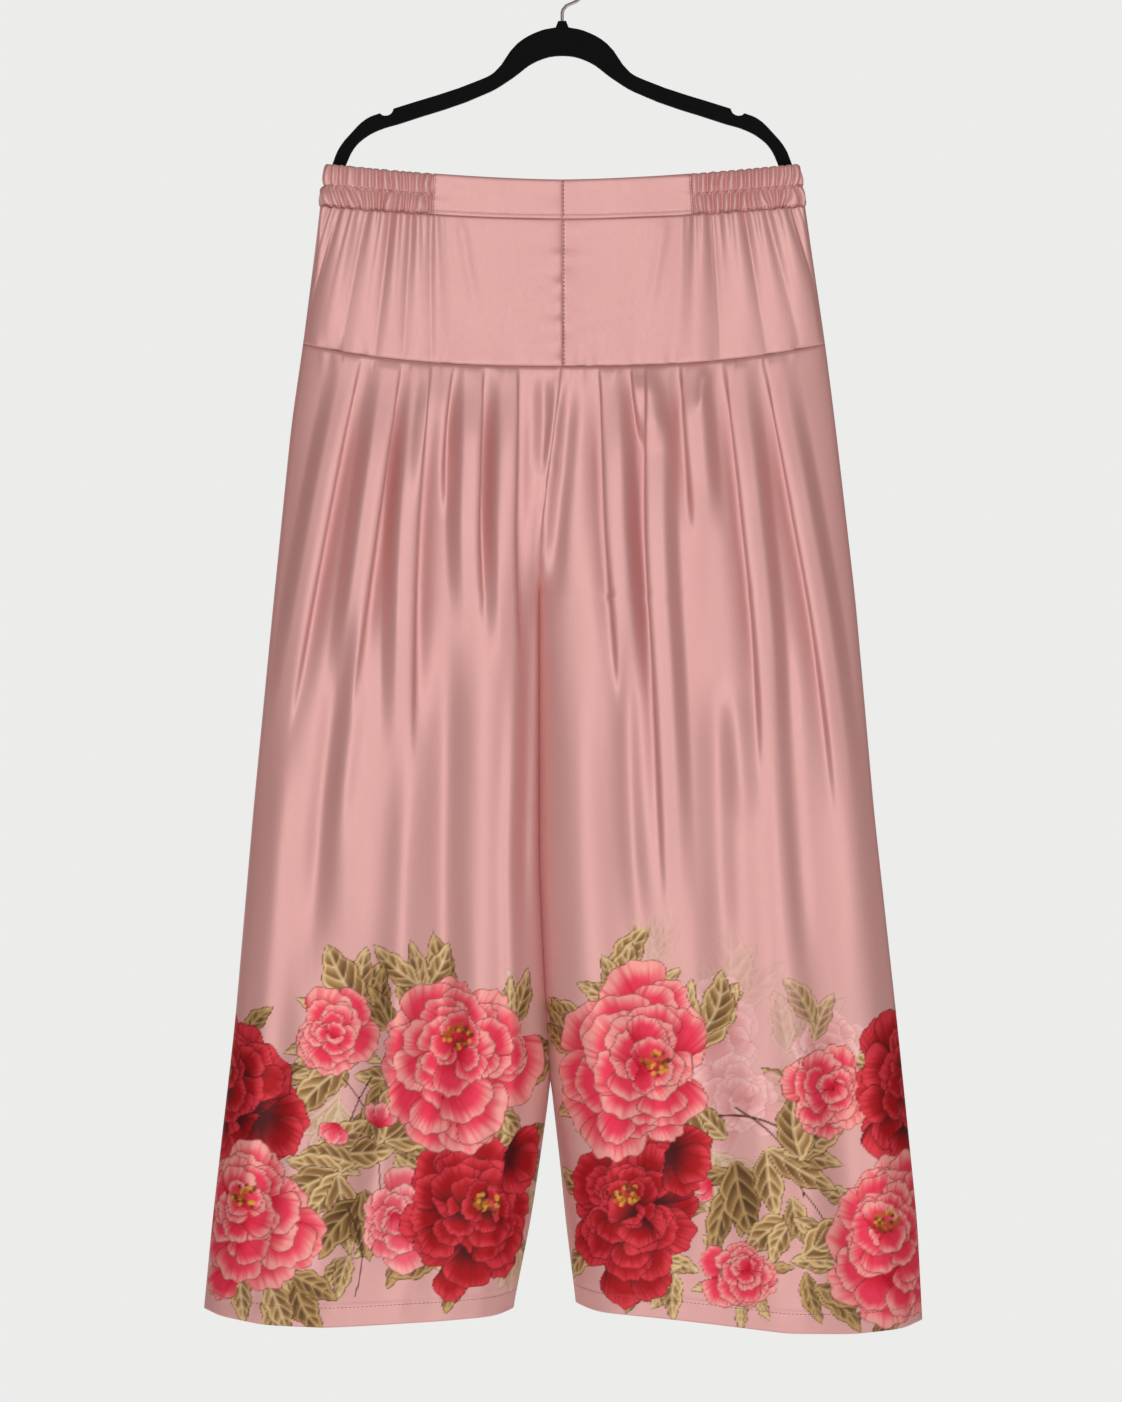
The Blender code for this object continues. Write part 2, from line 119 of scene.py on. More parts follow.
# Seams lie a little deeper than the cloth beside them.
Groove = namedtuple("Groove", "depth reach")
LEG_TOP_GROOVE = Groove(0.0008, 0.0016)
RISE_GROOVE = Groove(0.0007, 0.0017)
YOKE_TOP_GROOVE = Groove(0.0004, 0.0014)
YOKE_FOOT_GROOVE = Groove(0.0008, 0.0016)
YOKE_SEAM_GROOVE = Groove(0.0007, 0.0015)
BAND_SEAM_GROOVE = Groove(0.0006, 0.0015)
BAND_END_GROOVE = Groove(0.0006, 0.0014)
BAND_TOP_ROLL = Groove(0.0009, 0.0012)
BAND_FOOT_ROLL = Groove(0.0004, 0.0012)

Level = namedtuple("Level", "height right_half left_half half_depth bluntness")
OUTLINE = (
    Level(-0.1700, 0.2060, 0.2090, 0.0112, 30.0),
    Level(-0.1800, 0.2072, 0.2100, 0.0112, 30.0),
    Level(-0.1995, 0.2112, 0.2112, 0.0115, 30.0),
    Level(-0.2190, 0.2140, 0.2148, 0.0118, 30.0),
    Level(-0.2400, 0.2160, 0.2175, 0.0125, 18.0),
    Level(-0.3406, 0.2288, 0.2323, 0.0195, 7.0),
    Level(-0.4100, 0.2390, 0.2411, 0.0250, 4.5),
    Level(-0.5667, 0.2548, 0.2591, 0.0310, 4.0),
    Level(-0.7524, 0.2728, 0.2754, 0.0340, 4.0),
    Level(-0.9408, 0.2890, 0.2960, 0.0370, 4.0),
    Level(-1.1141, 0.3089, 0.3136, 0.0400, 4.0),
    Level(-1.2200, 0.3190, 0.3190, 0.0420, 4.0),
)
Parting = namedtuple("Parting", "height right_inner left_inner")
PARTING = (
    Parting(-0.3610, 0.0000, 0.0000),
    Parting(-0.4300, -0.0090, -0.0090),
    Parting(-0.5000, -0.0175, -0.0175),
    Parting(-0.5600, -0.0202, -0.0202),
    Parting(-0.8000, -0.0200, -0.0200),
    Parting(-0.9000, -0.0155, -0.0155),
    Parting(-0.9900, -0.0100, -0.0100),
    Parting(-1.0630, -0.0202, -0.0015),
    Parting(-1.1150, -0.0282, 0.0035),
    Parting(-1.2000, -0.0455, 0.0142),
)
Hem = namedtuple("Hem", "across right_height left_height")
HEM = (
    Hem(0.00, -1.1900, -1.1850),
    Hem(0.05, -1.1950, -1.1910),
    Hem(0.20, -1.1980, -1.1950),
    Hem(0.40, -1.2020, -1.2020),
    Hem(0.60, -1.2050, -1.2100),
    Hem(0.80, -1.2030, -1.2110),
    Hem(0.95, -1.1960, -1.2070),
    Hem(1.00, -1.1900, -1.2000),
)

# A row for each fold of a leg.  kind: "pleat" is a knife pleat whose edge faces the centre,
# "ridge" and "trough" are soft.  top and foot: the heights it runs between.  The three
# shares place it across the leg at its top, middle and foot.  hang: how far a pleat's edge
# overhangs its valley.
Fold = namedtuple("Fold", "kind top foot at_top at_mid at_foot height width hang",
                  defaults=(0.0,))
FOLDS = {
    "front_right": (
        Fold("pleat", -0.352, -0.700, 0.764, 0.832, 0.900, 0.0075, 0.0026, 0.0030),
        Fold("pleat", -0.360, -0.680, 0.610, 0.632, 0.680, 0.0085, 0.0026, 0.0030),
        Fold("pleat", -0.360, -0.720, 0.495, 0.470, 0.445, 0.0085, 0.0026, 0.0030),
        Fold("pleat", -0.360, -0.500, 0.411, 0.407, 0.374, 0.0045, 0.0022, 0.0018),
        Fold("pleat", -0.362, -0.600, 0.296, 0.250, 0.205, 0.0080, 0.0026, 0.0030),
        Fold("pleat", -0.362, -0.640, 0.165, 0.105, 0.070, 0.0070, 0.0024, 0.0026),
        Fold("trough", -0.362, -0.450, 0.070, 0.045, 0.030, 0.0045, 0.0050),
        Fold("ridge", -0.640, -1.190, 0.900, 0.907, 0.895, 0.0050, 0.0110),
        Fold("trough", -0.560, -0.860, 0.715, 0.745, 0.760, 0.0065, 0.0090),
        Fold("ridge", -0.560, -0.780, 0.656, 0.680, 0.700, 0.0040, 0.0080),
        Fold("ridge", -0.640, -1.190, 0.446, 0.475, 0.520, 0.0060, 0.0120),
        Fold("trough", -0.560, -0.980, 0.352, 0.330, 0.330, 0.0070, 0.0120),
        Fold("ridge", -0.520, -1.190, 0.220, 0.200, 0.230, 0.0060, 0.0200),
        Fold("ridge", -0.560, -1.190, 0.078, 0.105, 0.110, 0.0045, 0.0060),
        Fold("trough", -0.540, -0.860, 0.045, 0.050, 0.060, 0.0055, 0.0050),
        Fold("trough", -0.820, -1.190, 0.640, 0.620, 0.640, 0.0045, 0.0160),
        Fold("ridge", -0.860, -1.190, 0.780, 0.770, 0.760, 0.0040, 0.0150),
        Fold("trough", -0.880, -1.190, 0.380, 0.370, 0.360, 0.0040, 0.0150),
    ),
    "front_left": (
        Fold("trough", -0.362, -0.560, 0.034, 0.050, 0.045, 0.0050, 0.0060),
        Fold("pleat", -0.362, -0.680, 0.140, 0.215, 0.246, 0.0080, 0.0026, 0.0030),
        Fold("pleat", -0.362, -0.440, 0.258, 0.285, 0.325, 0.0050, 0.0022, 0.0018),
        Fold("pleat", -0.362, -0.860, 0.313, 0.352, 0.360, 0.0085, 0.0026, 0.0030),
        Fold("pleat", -0.360, -0.515, 0.441, 0.470, 0.494, 0.0065, 0.0024, 0.0024),
        Fold("ridge", -0.360, -0.400, 0.534, 0.528, 0.519, 0.0028, 0.0040),
        Fold("pleat", -0.358, -0.740, 0.604, 0.665, 0.660, 0.0080, 0.0026, 0.0030),
        Fold("pleat", -0.354, -0.780, 0.752, 0.848, 0.880, 0.0075, 0.0026, 0.0030),
        Fold("trough", -0.580, -0.860, 0.282, 0.272, 0.285, 0.0060, 0.0080),
        Fold("trough", -0.620, -0.900, 0.545, 0.530, 0.515, 0.0055, 0.0100),
        Fold("ridge", -0.640, -0.760, 0.600, 0.605, 0.610, 0.0035, 0.0090),
        Fold("ridge", -0.600, -1.190, 0.725, 0.715, 0.700, 0.0050, 0.0130),
        Fold("trough", -0.560, -0.900, 0.767, 0.760, 0.750, 0.0045, 0.0070),
        Fold("ridge", -0.640, -1.190, 0.930, 0.925, 0.905, 0.0045, 0.0110),
        Fold("ridge", -0.560, -1.190, 0.110, 0.140, 0.150, 0.0055, 0.0180),
        Fold("ridge", -0.780, -1.190, 0.410, 0.425, 0.440, 0.0050, 0.0180),
        Fold("trough", -0.880, -1.190, 0.300, 0.290, 0.290, 0.0045, 0.0150),
        Fold("trough", -0.900, -1.190, 0.570, 0.570, 0.580, 0.0045, 0.0170),
        Fold("trough", -0.920, -1.190, 0.820, 0.815, 0.805, 0.0040, 0.0130),
    ),
    "back_right": (
        Fold("pleat", -0.361, -0.640, 0.180, 0.175, 0.170, 0.0075, 0.0026, 0.0028),
        Fold("pleat", -0.361, -0.560, 0.310, 0.300, 0.290, 0.0070, 0.0026, 0.0026),
        Fold("pleat", -0.360, -0.700, 0.420, 0.405, 0.400, 0.0085, 0.0026, 0.0030),
        Fold("pleat", -0.360, -0.600, 0.540, 0.535, 0.530, 0.0070, 0.0026, 0.0026),
        Fold("pleat", -0.358, -0.740, 0.660, 0.675, 0.680, 0.0080, 0.0026, 0.0030),
        Fold("pleat", -0.354, -0.660, 0.770, 0.795, 0.840, 0.0070, 0.0026, 0.0028),
        Fold("ridge", -0.540, -1.190, 0.130, 0.150, 0.170, 0.0055, 0.0170),
        Fold("trough", -0.560, -1.190, 0.350, 0.340, 0.360, 0.0060, 0.0140),
        Fold("ridge", -0.640, -1.190, 0.460, 0.480, 0.500, 0.0060, 0.0150),
        Fold("trough", -0.600, -1.190, 0.610, 0.600, 0.620, 0.0055, 0.0130),
        Fold("ridge", -0.700, -1.190, 0.740, 0.750, 0.740, 0.0050, 0.0150),
        Fold("trough", -0.620, -0.980, 0.850, 0.840, 0.840, 0.0040, 0.0090),
        Fold("ridge", -0.640, -1.190, 0.920, 0.915, 0.900, 0.0045, 0.0110),
    ),
    "back_left": (
        Fold("pleat", -0.361, -0.580, 0.160, 0.180, 0.190, 0.0070, 0.0026, 0.0026),
        Fold("pleat", -0.361, -0.700, 0.290, 0.310, 0.320, 0.0085, 0.0026, 0.0030),
        Fold("pleat", -0.360, -0.620, 0.430, 0.435, 0.440, 0.0075, 0.0026, 0.0028),
        Fold("pleat", -0.360, -0.540, 0.550, 0.555, 0.560, 0.0065, 0.0026, 0.0024),
        Fold("pleat", -0.358, -0.720, 0.650, 0.665, 0.670, 0.0085, 0.0026, 0.0030),
        Fold("pleat", -0.354, -0.640, 0.760, 0.790, 0.840, 0.0070, 0.0026, 0.0028),
        Fold("ridge", -0.560, -1.190, 0.120, 0.130, 0.150, 0.0050, 0.0160),
        Fold("trough", -0.580, -1.190, 0.240, 0.250, 0.260, 0.0055, 0.0130),
        Fold("ridge", -0.640, -1.190, 0.370, 0.380, 0.370, 0.0060, 0.0160),
        Fold("trough", -0.600, -1.190, 0.500, 0.510, 0.520, 0.0055, 0.0140),
        Fold("ridge", -0.680, -1.190, 0.610, 0.620, 0.640, 0.0055, 0.0150),
        Fold("trough", -0.660, -1.190, 0.740, 0.750, 0.750, 0.0045, 0.0120),
        Fold("ridge", -0.640, -1.190, 0.910, 0.905, 0.890, 0.0045, 0.0120),
    ),
}


# ---------------------------------------------------------------- small functions
def rise(t):
    """0 to 1 with no corner at either end."""
    t = np.clip(t, 0.0, 1.0)
    return t * t * (3.0 - 2.0 * t)


def mix(a, b, t):
    return a + (b - a) * t


def bell(d, width):
    return np.exp(-(d / width) ** 2)


def hashed(number, seed=0):
    """A repeatable value from 0 to 1 for each whole number."""
    value = np.sin(np.asarray(number, float) * 127.1 + seed * 311.7 + 17.3) * 43758.5453
    return value - np.floor(value)


def wander(t, seed=0):
    """Smooth noise from -1 to 1 along a line."""
    t = np.asarray(t, float)
    cell = np.floor(t)
    part = rise(t - cell)
    return 2.0 * mix(hashed(cell, seed), hashed(cell + 1, seed), part) - 1.0


def wander2(a, b, seed=0):
    """Smooth noise from -1 to 1 over a surface."""
    a = np.asarray(a, float)
    b = np.asarray(b, float)
    cell_a, cell_b = np.floor(a), np.floor(b)
    part_a, part_b = rise(a - cell_a), rise(b - cell_b)

    def corner(step_a, step_b):
        return hashed((cell_a + step_a) * 57.0 + (cell_b + step_b) * 131.0, seed)
    low = mix(corner(0, 0), corner(1, 0), part_a)
    high = mix(corner(0, 1), corner(1, 1), part_a)
    return 2.0 * mix(low, high, part_b) - 1.0


def ripple(size, along, z, seed):
    return size.height * wander2(along / size.across, z / size.down, seed)


def pucker(size, along, z, seed):
    """Short ripples that run away from an upright seam."""
    return size.height * wander2(z / size.down, along / size.across, seed)


def groove(size, distance):
    return size.depth * np.exp(-distance / size.reach)


# ---------------------------------------------------------------- sizes at a height
FINE_Z = np.linspace(-1.26, -0.16, 1101)
SMOOTHING = 0.022


def smooth_column(table, name):
    """A named column against height, with the corners at its rows rounded off."""
    rows = sorted(table, key=lambda row: row.height)
    line = np.interp(FINE_Z, [row.height for row in rows], [getattr(row, name) for row in rows])
    step = FINE_Z[1] - FINE_Z[0]
    reach = int(2.5 * SMOOTHING / step)
    kernel = bell(np.arange(-reach, reach + 1) * step, SMOOTHING)
    padded = np.pad(line, reach, mode="edge")
    return np.convolve(padded, kernel / kernel.sum(), mode="valid")


COLUMNS = {name: smooth_column(OUTLINE, name) for name in Level._fields[1:]}
COLUMNS.update({name: smooth_column(PARTING, name) for name in Parting._fields[1:]})


def at_height(name, z):
    return np.interp(z, FINE_Z, COLUMNS[name])


def half_width(side, z):
    return at_height(side + "_half", z)


def band_top(share):
    return BAND_TOP + BAND_TOP_RISE * share ** BAND_TOP_POWER


def band_foot(share):
    gathered = rise((share - FLAT_BAND_SHARE) / 0.04)
    pinch = FOOT_PINCH * np.sin(2.0 * math.pi * share / 0.0345 + 2.0 * np.sin(share * 41.0))
    return BAND_FOOT + BAND_FOOT_RISE * share ** BAND_FOOT_POWER + gathered * pinch


def yoke_foot(share):
    return YOKE_FOOT + YOKE_FOOT_RISE * share ** YOKE_FOOT_POWER


def yoke_top(share):
    return band_foot(share) - SEAM_GAP / 2


def yoke_end(share):
    return yoke_foot(share) + SEAM_GAP / 2


def band_end(share):
    return band_foot(share) + SEAM_GAP / 2


HEM_SHARES = np.linspace(0.0, 1.0, 201)
HEM_REACH = 12            # steps of HEM_SHARES over which the hem's corners are rounded off
HEM_SPREAD = 6.0


def hem_height(side, share):
    line = np.interp(HEM_SHARES, [row.across for row in HEM],
                     [getattr(row, side + "_height") for row in HEM])
    kernel = bell(np.arange(-HEM_REACH, HEM_REACH + 1), HEM_SPREAD)
    padded = np.pad(line, HEM_REACH, mode="edge")
    return np.interp(share, HEM_SHARES, np.convolve(padded, kernel / kernel.sum(), mode="valid"))


def ring_depth(share, z):
    """Distance of the ring from the middle plane, at a share of its half width."""
    reach = at_height("half_depth", z) - TURN - CLOTH_INSET
    power = at_height("bluntness", z)
    return TURN + reach * np.sqrt(np.clip(1.0 - share ** power, 0.0, 1.0))


# ---------------------------------------------------------------- legs
def fold_shape(fold, share, z, width_there):
    """How far a fold moves the cloth outwards and sideways."""
    t = (fold.top - z) / (fold.top - fold.foot)
    at = (fold.at_top * (1 - t) * (1 - 2 * t) + fold.at_mid * 4 * t * (1 - t)
          + fold.at_foot * t * (2 * t - 1))
    d = (share - at) * width_there
    if fold.kind == "pleat":
        strength = (0.15 + 0.85 * rise(t / 0.30)) * rise((1.0 - t) / 0.45) * (t > 0)
        lift = 0.5 * (1.0 + np.tanh(d / fold.width))
        fall = 1.0 - rise((d / PLEAT_FALL - PLEAT_FLAT) / (1.0 - PLEAT_FLAT))
        valley = -VALLEY_PART * (1.0 - lift) * bell(d, VALLEY_WIDTH)
        out = PLEAT_SCALE * fold.height * strength * (lift * fall + valley)
        reach = fold.hang * rise((1.0 - t) / 0.6) * (0.35 + 0.65 * rise(t / 0.15)) * (t > 0)
        near = d / fold.width
        aside = -1.65 * reach * near * np.exp(-0.5 * near ** 2)
        return out, aside
    strength = rise(t / 0.30) * rise((1.12 - t) / 0.40) * (t > 0) * (t < 1.12)
    sign = 1.0 if fold.kind == "ridge" else -1.0
    broad = bell(d, SOFT_WIDTH * fold.width)
    return sign * SOFT_HEIGHT * fold.height * strength * broad, np.zeros_like(d)


Form = namedtuple("Form", "x y z top hem turned width")


def leg_form(side, share, row):
    """A leg with no folds, for shares across it and rows down it.

    turned goes from 0 at the yoke to 1 at the crotch, as the inner edge turns into an inseam.
    """
    sign = SIDES[side]
    top = yoke_foot(share) - SEAM_GAP / 2
    hem = hem_height(side, share)
    z = top + (hem - top) * row
    crotch_row = (CROTCH - yoke_foot(0.0)) / (hem_height(side, 0.0) - yoke_foot(0.0))
    turned = np.clip((row / crotch_row - RISE_CURVE_START) / (1.0 - RISE_CURVE_START), 0.0, 1.0)
    openness = np.sqrt(1.0 - turned ** 2)
    nearness = 1.0 - np.clip(share / INNER_CLOSE, 0.0, 1.0)
    closing = np.sqrt(1.0 - (1.0 - openness ** 2) * nearness ** INNER_POWER)
    apart = at_height("left_inner", z) - at_height("right_inner", z)
    touching = turned * rise((INSEAM_OPEN - apart) / INSEAM_OPEN)
    inner = at_height(side + "_inner", z) + sign * (SEAM_GAP / 2 - INSEAM_LAP * touching)
    outer = sign * half_width(side, z)
    width = np.abs(outer - inner)
    y = TURN + (ring_depth(share, z) - TURN) * closing
    if side == "left":
        y = y + LAP_LIFT * touching * np.exp(-share * width / LAP_REACH)
    return Form(inner + (outer - inner) * share, y, z, top, hem, turned, width)


def unevenness(form, share, edge, seed):
    """Long soft waves down a leg, and puckers along its seams, its gathered top and its hem."""
    along = share * form.width
    down = form.top - form.z
    waves = ripple(LONG_WAVES, along, form.z, seed) + ripple(SHORT_WAVES, along, form.z, seed + 1)
    out = waves * edge * rise(down / 0.05)
    inseam = np.exp(-along / 0.011) * np.minimum(form.turned * 3.0, 1.0) * rise(share / 0.02)
    out = out + inseam * pucker(INSEAM_PUCKER, along, form.z, seed + 2)
    rise_seam = np.exp(-along / 0.012) * (1.0 - form.turned) * rise(down / 0.010)
    out = out + rise_seam * pucker(RISE_PUCKER, along, form.z, seed + 3)
    gathered = np.exp(-down / 0.012) * edge
    out = out + gathered * ripple(LEG_TOP_PUCKER, along, form.z, seed + 4)
    out = out - groove(LEG_TOP_GROOVE, down) * edge
    out = out - groove(RISE_GROOVE, along) * (1.0 - form.turned)
    above = (form.z - form.hem) - HEM_LINE
    out = out - HEM_LINE_DEPTH * bell(above, 0.0016) * edge
    return out + bell(above, 0.010) * ripple(HEM_PUCKER, along, form.z, seed + 6) * edge


def leg_section(side, face, share, row):
    """Points of a leg with its folds, for shares across it and rows down it."""
    form = leg_form(side, share, row)
    x, y = form.x, form.y
    edge = rise(share / EDGE_INNER) * rise((1.0 - share) / EDGE_OUTER)
    under_seam = 0.60 + 0.40 * rise((form.top - form.z) / 0.012)
    kept = edge * (1.0 if face == "front" else BACK_FOLDS)
    for fold in FOLDS[face + "_" + side]:
        out, aside = fold_shape(fold, share, form.z, form.width)
        y = y + out * kept * under_seam
        x = x + SIDES[side] * aside * kept
    seed = 3 + 5 * (side == "left") + 11 * (face == "back")
    y = y + unevenness(form, share, edge, seed)
    return np.stack([x, FACES[face] * y, form.z], axis=-1)


def evened(fine, share, columns):
    """Each row of points spaced evenly along its own length, and each point's share."""
    run = run_along(fine)
    out = np.empty((len(fine), columns, 3))
    shares = np.empty((len(fine), columns))
    for r in range(len(fine)):
        even = np.linspace(0.0, run[r, -1], columns)
        for axis in range(3):
            out[r, :, axis] = np.interp(even, run[r], fine[r, :, axis])
        shares[r] = np.interp(even, run[r], share[r])
    return out, shares


def run_along(points):
    """How far each point of a row is from its first, measured along the row."""
    length = np.linalg.norm(np.diff(points, axis=1), axis=2)
    return np.concatenate([np.zeros((len(points), 1)), np.cumsum(length, axis=1)], axis=1)


LEG_COLUMNS = {"front": 218, "back": 165}
PRINT_STEP = {"front": 0.00105, "back": 0.0016}
FINE_COLUMNS = 1100


def leg_rows(side, face):
    """Rows down a leg: finest where the print is."""
    top, hem = yoke_foot(0.5), hem_height(side, 0.5)
    steps = ((top, CROTCH, 0.0036), (CROTCH, PRINT_TOP, 0.0060), (PRINT_TOP, hem, PRINT_STEP[face]))
    heights = [np.array([top])]
    for start, end, step in steps:
        count = int(round((start - end) / step))
        heights.append(np.linspace(start, end, count + 1)[1:])
    return (top - np.concatenate(heights)) / (top - hem)


def leg_grid(side, face):
    rows = leg_rows(side, face)[:, None]
    share = 0.5 - 0.5 * np.cos(math.pi * np.linspace(0.0, 1.0, FINE_COLUMNS))
    share = np.broadcast_to(share, (len(rows), FINE_COLUMNS))
    return evened(leg_section(side, face, share, rows), share, LEG_COLUMNS[face])


def arc_places(side, points, shares):
    """Place of each point in the flat cloth: distance from the middle plane, and height.

    Distances run along the cloth itself from the leg's centre line, so folds stretch no print.
    """
    z = points[:, :, 2]
    run = run_along(points[:, :, :2])
    middle = np.array([np.interp(0.5, shares[r], run[r]) for r in range(len(z))])
    inner = at_height(side + "_inner", z[:, 0])
    outer = SIDES[side] * half_width(side, z[:, 0])
    centre = (inner + outer) / 2
    return centre[:, None] + SIDES[side] * (run - middle[:, None]), z


# ---------------------------------------------------------------- meshes
def grid_mesh(name, points, outward, extras=()):
    """A sheet on a grid of points.  extras are (attribute name, kind, values per point)."""
    rows, columns = points.shape[:2]
    corner = (np.arange(rows - 1)[:, None] * columns + np.arange(columns - 1)[None, :]).ravel()
    quads = np.stack([corner, corner + 1, corner + columns + 1, corner + columns], axis=1)
    if not outward:
        quads = quads[:, ::-1]
    mesh = bpy.data.meshes.new(name)
    mesh.vertices.add(rows * columns)
    mesh.vertices.foreach_set("co", points.reshape(-1).astype(np.float32))
    mesh.loops.add(quads.size)
    mesh.loops.foreach_set("vertex_index", quads.ravel().astype(np.int32))
    mesh.polygons.add(len(quads))
    mesh.polygons.foreach_set("loop_start", np.arange(0, quads.size, 4, dtype=np.int32))
    mesh.update(calc_edges=True)
    mesh.validate()
    layer = mesh.uv_layers.new(name="OFBake")
    across, down = np.meshgrid(np.linspace(0.002, 0.998, columns),
                               np.linspace(0.998, 0.002, rows))
    places = np.stack([across.ravel(), down.ravel()], axis=1)[quads.ravel()]
    layer.uv.foreach_set("vector", places.astype(np.float32).ravel())
    for attribute, kind, values in extras:
        made = mesh.attributes.new(attribute, kind, "POINT")
        field = "color" if kind == "FLOAT_COLOR" else "value"
        made.data.foreach_set(field, values.reshape(-1).astype(np.float32))
    mesh.shade_smooth()
    return mesh


def add_piece(name, mesh, material, slot, *nodes):
    piece = bpy.data.objects.new(name, mesh)
    bpy.context.scene.collection.objects.link(piece)
    mesh.materials.append(material)
    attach(piece, "root")
    if nodes:
        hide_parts(*nodes)
    return piece


# The cut of what shows of each panel, allowances included: width, length and flat area.
Cut = namedtuple("Cut", "width length area held")


def declare(piece):
    return piece


def facing_out(side, face):
    return SIDES[side] * FACES[face] > 0


def dipped(column, aside, pull):
    """A column of points moved sideways, and in towards the middle plane."""
    moved = column.copy()
    moved[..., 0] += aside
    depth = np.maximum(np.abs(column[..., 1]) - pull, SEAM_GAP / 2)
    moved[..., 1] = np.sign(column[..., 1]) * depth
    return moved


def face_edge(column, toward):
    """Allowance at a seam on a face: it dips under the neighbour, then turns back."""
    return [dipped(column, toward * DIP_REACH, DIP), dipped(column, -toward * TURN_BACK, ALLOWANCE)]


def side_edge(column, outward):
    """Allowance at a side seam: it closes to the middle plane, then turns in."""
    return [dipped(column, 0.0, ALL_THE_WAY), dipped(column, -outward * ALLOWANCE, ALL_THE_WAY)]


def joined(before, points, after):
    return np.concatenate(before[::-1] + [points] + after, axis=1)


def turned_row(row, depth, drop):
    """A row of points moved in towards the middle plane by depth, and down by drop."""
    moved = row.copy()
    pull = np.minimum(depth, np.abs(row[..., 1]) * 0.6)
    moved[..., 1] -= np.sign(row[..., 1]) * pull
    moved[..., 2] -= drop
    return moved


def hem_rows(points):
    """The hem's rounded edge, and the cloth turned up inside it."""
    middle = points.shape[1] // 2
    step = points[-2, middle, 2] - points[-1, middle, 2]
    rows = [turned_row(points[-1:], 0.0006, 0.0003), turned_row(points[-1:], 0.0014, 0.0001)]
    for part in (0.3, 1.0):
        above = int(round(HEM_TURN * part / step))
        row = turned_row(points[-1 - above:points.shape[0] - above], 0.0018, 0.0)
        centre = (row[:, :1, 0] + row[:, -1:, 0]) / 2
        row[..., 0] = centre + (row[..., 0] - centre) * 0.993
        rows.append(row)
    return rows


# ---------------------------------------------------------------- stitches
Stitch = namedtuple("Stitch", "length gap width")
FINE_STITCH = Stitch(0.0018, 0.0012, 0.00060)
LONG_STITCH = Stitch(0.0024, 0.0012, 0.00050)
BOLD_STITCH = Stitch(0.0020, 0.0016, 0.00090)
THREAD_LIFT = 0.00012
SEWN = []                 # each stitch: its two ends and the way out of the cloth


def sew(points, row, outward, stitch):
    """Stitches along a row of a grid of points, laid on the cloth."""
    line = points[row]
    along = np.gradient(line, axis=0)
    down = points[min(row + 1, len(points) - 1)] - points[row - 1]
    out = np.cross(along, down) * (1.0 if outward else -1.0)
    out = out / np.maximum(np.linalg.norm(out, axis=1, keepdims=True), 1e-9)
    run = np.concatenate([[0.0], np.cumsum(np.linalg.norm(np.diff(line, axis=0), axis=1))])
    starts = np.arange(0.001, run[-1] - stitch.length, stitch.length + stitch.gap)

    def at(values, place):
        return np.stack([np.interp(place, run, values[:, axis]) for axis in range(3)], axis=1)
    for first, last, way in zip(at(line, starts), at(line, starts + stitch.length),
                                at(out, starts + stitch.length / 2)):
        SEWN.append((first, last, way, stitch.width))


def make_stitching(material):
    """Every stitch as a small bar, flat on the cloth, with its ends sunk in it."""
    first, last, way = (np.array([row[part] for row in SEWN]) for part in range(3))
    width = np.array([row[3] for row in SEWN])[:, None]
    along = last - first
    aside = np.cross(along, way)
    aside = aside / np.maximum(np.linalg.norm(aside, axis=1, keepdims=True), 1e-9) * width / 2
    corners = []
    for part, lift in ((0.0, -1.0), (0.2, 1.0), (0.8, 1.0), (1.0, -1.0)):
        centre = first + along * part + way * THREAD_LIFT * lift
        corners += [centre - aside, centre + way * THREAD_LIFT, centre + aside]
    points = np.stack(corners, axis=1)
    faces = []
    for number in range(len(SEWN)):
        base = number * len(corners)
        for step in range(3):
            for edge in range(2):
                a = base + 3 * step + edge
                faces.append((a, a + 1, a + 4, a + 3))
    mesh = bpy.data.meshes.new("stitching")
    mesh.from_pydata(points.reshape(-1, 3).tolist(), [], faces)
    mesh.shade_smooth()
    return add_piece("stitching", mesh, material, "satin")


# ---------------------------------------------------------------- materials
def srgb(r, g, b):
    """A colour from 0 to 255 values as seen on a screen, made linear."""
    def one(v):
        v = v / 255.0
        return v / 12.92 if v <= 0.04045 else ((v + 0.055) / 1.055) ** 2.4
    return (one(r), one(g), one(b))


SATIN_PINK = srgb(226, 176, 172)


def new_material(name):
    material = bpy.data.materials.new(name)
    material.use_nodes = True
    tree = material.node_tree
    return material, tree, tree.nodes["Principled BSDF"]


def noise(tree, scale, detail=2.0):
    """Noise in the object's own space, at a scale for each axis."""
    place = tree.nodes.new("ShaderNodeTexCoord")
    stretch = tree.nodes.new("ShaderNodeMapping")
    stretch.inputs["Scale"].default_value = scale
    texture = tree.nodes.new("ShaderNodeTexNoise")
    texture.inputs["Scale"].default_value = 1.0
    texture.inputs["Detail"].default_value = detail
    tree.links.new(place.outputs["Object"], stretch.inputs["Vector"])
    tree.links.new(stretch.outputs["Vector"], texture.inputs["Vector"])
    return texture.outputs["Fac"]


def mixed(tree, factor, first, second):
    """A mix of two colours.  Each is a colour or a node's output."""
    mixer = tree.nodes.new("ShaderNodeMix")
    mixer.data_type = "RGBA"
    tree.links.new(factor, mixer.inputs["Factor"])
    for socket, value in (("A", first), ("B", second)):
        if isinstance(value, tuple):
            mixer.inputs[socket].default_value = value + (1.0,)
        else:
            tree.links.new(value, mixer.inputs[socket])
    return mixer.outputs["Result"]


def ranged(tree, value, low, high):
    """A value from 0 to 1, moved to lie between low and high."""
    spreader = tree.nodes.new("ShaderNodeMapRange")
    spreader.inputs["To Min"].default_value = low
    spreader.inputs["To Max"].default_value = high
    tree.links.new(value, spreader.inputs["Value"])
    return spreader.outputs["Result"]


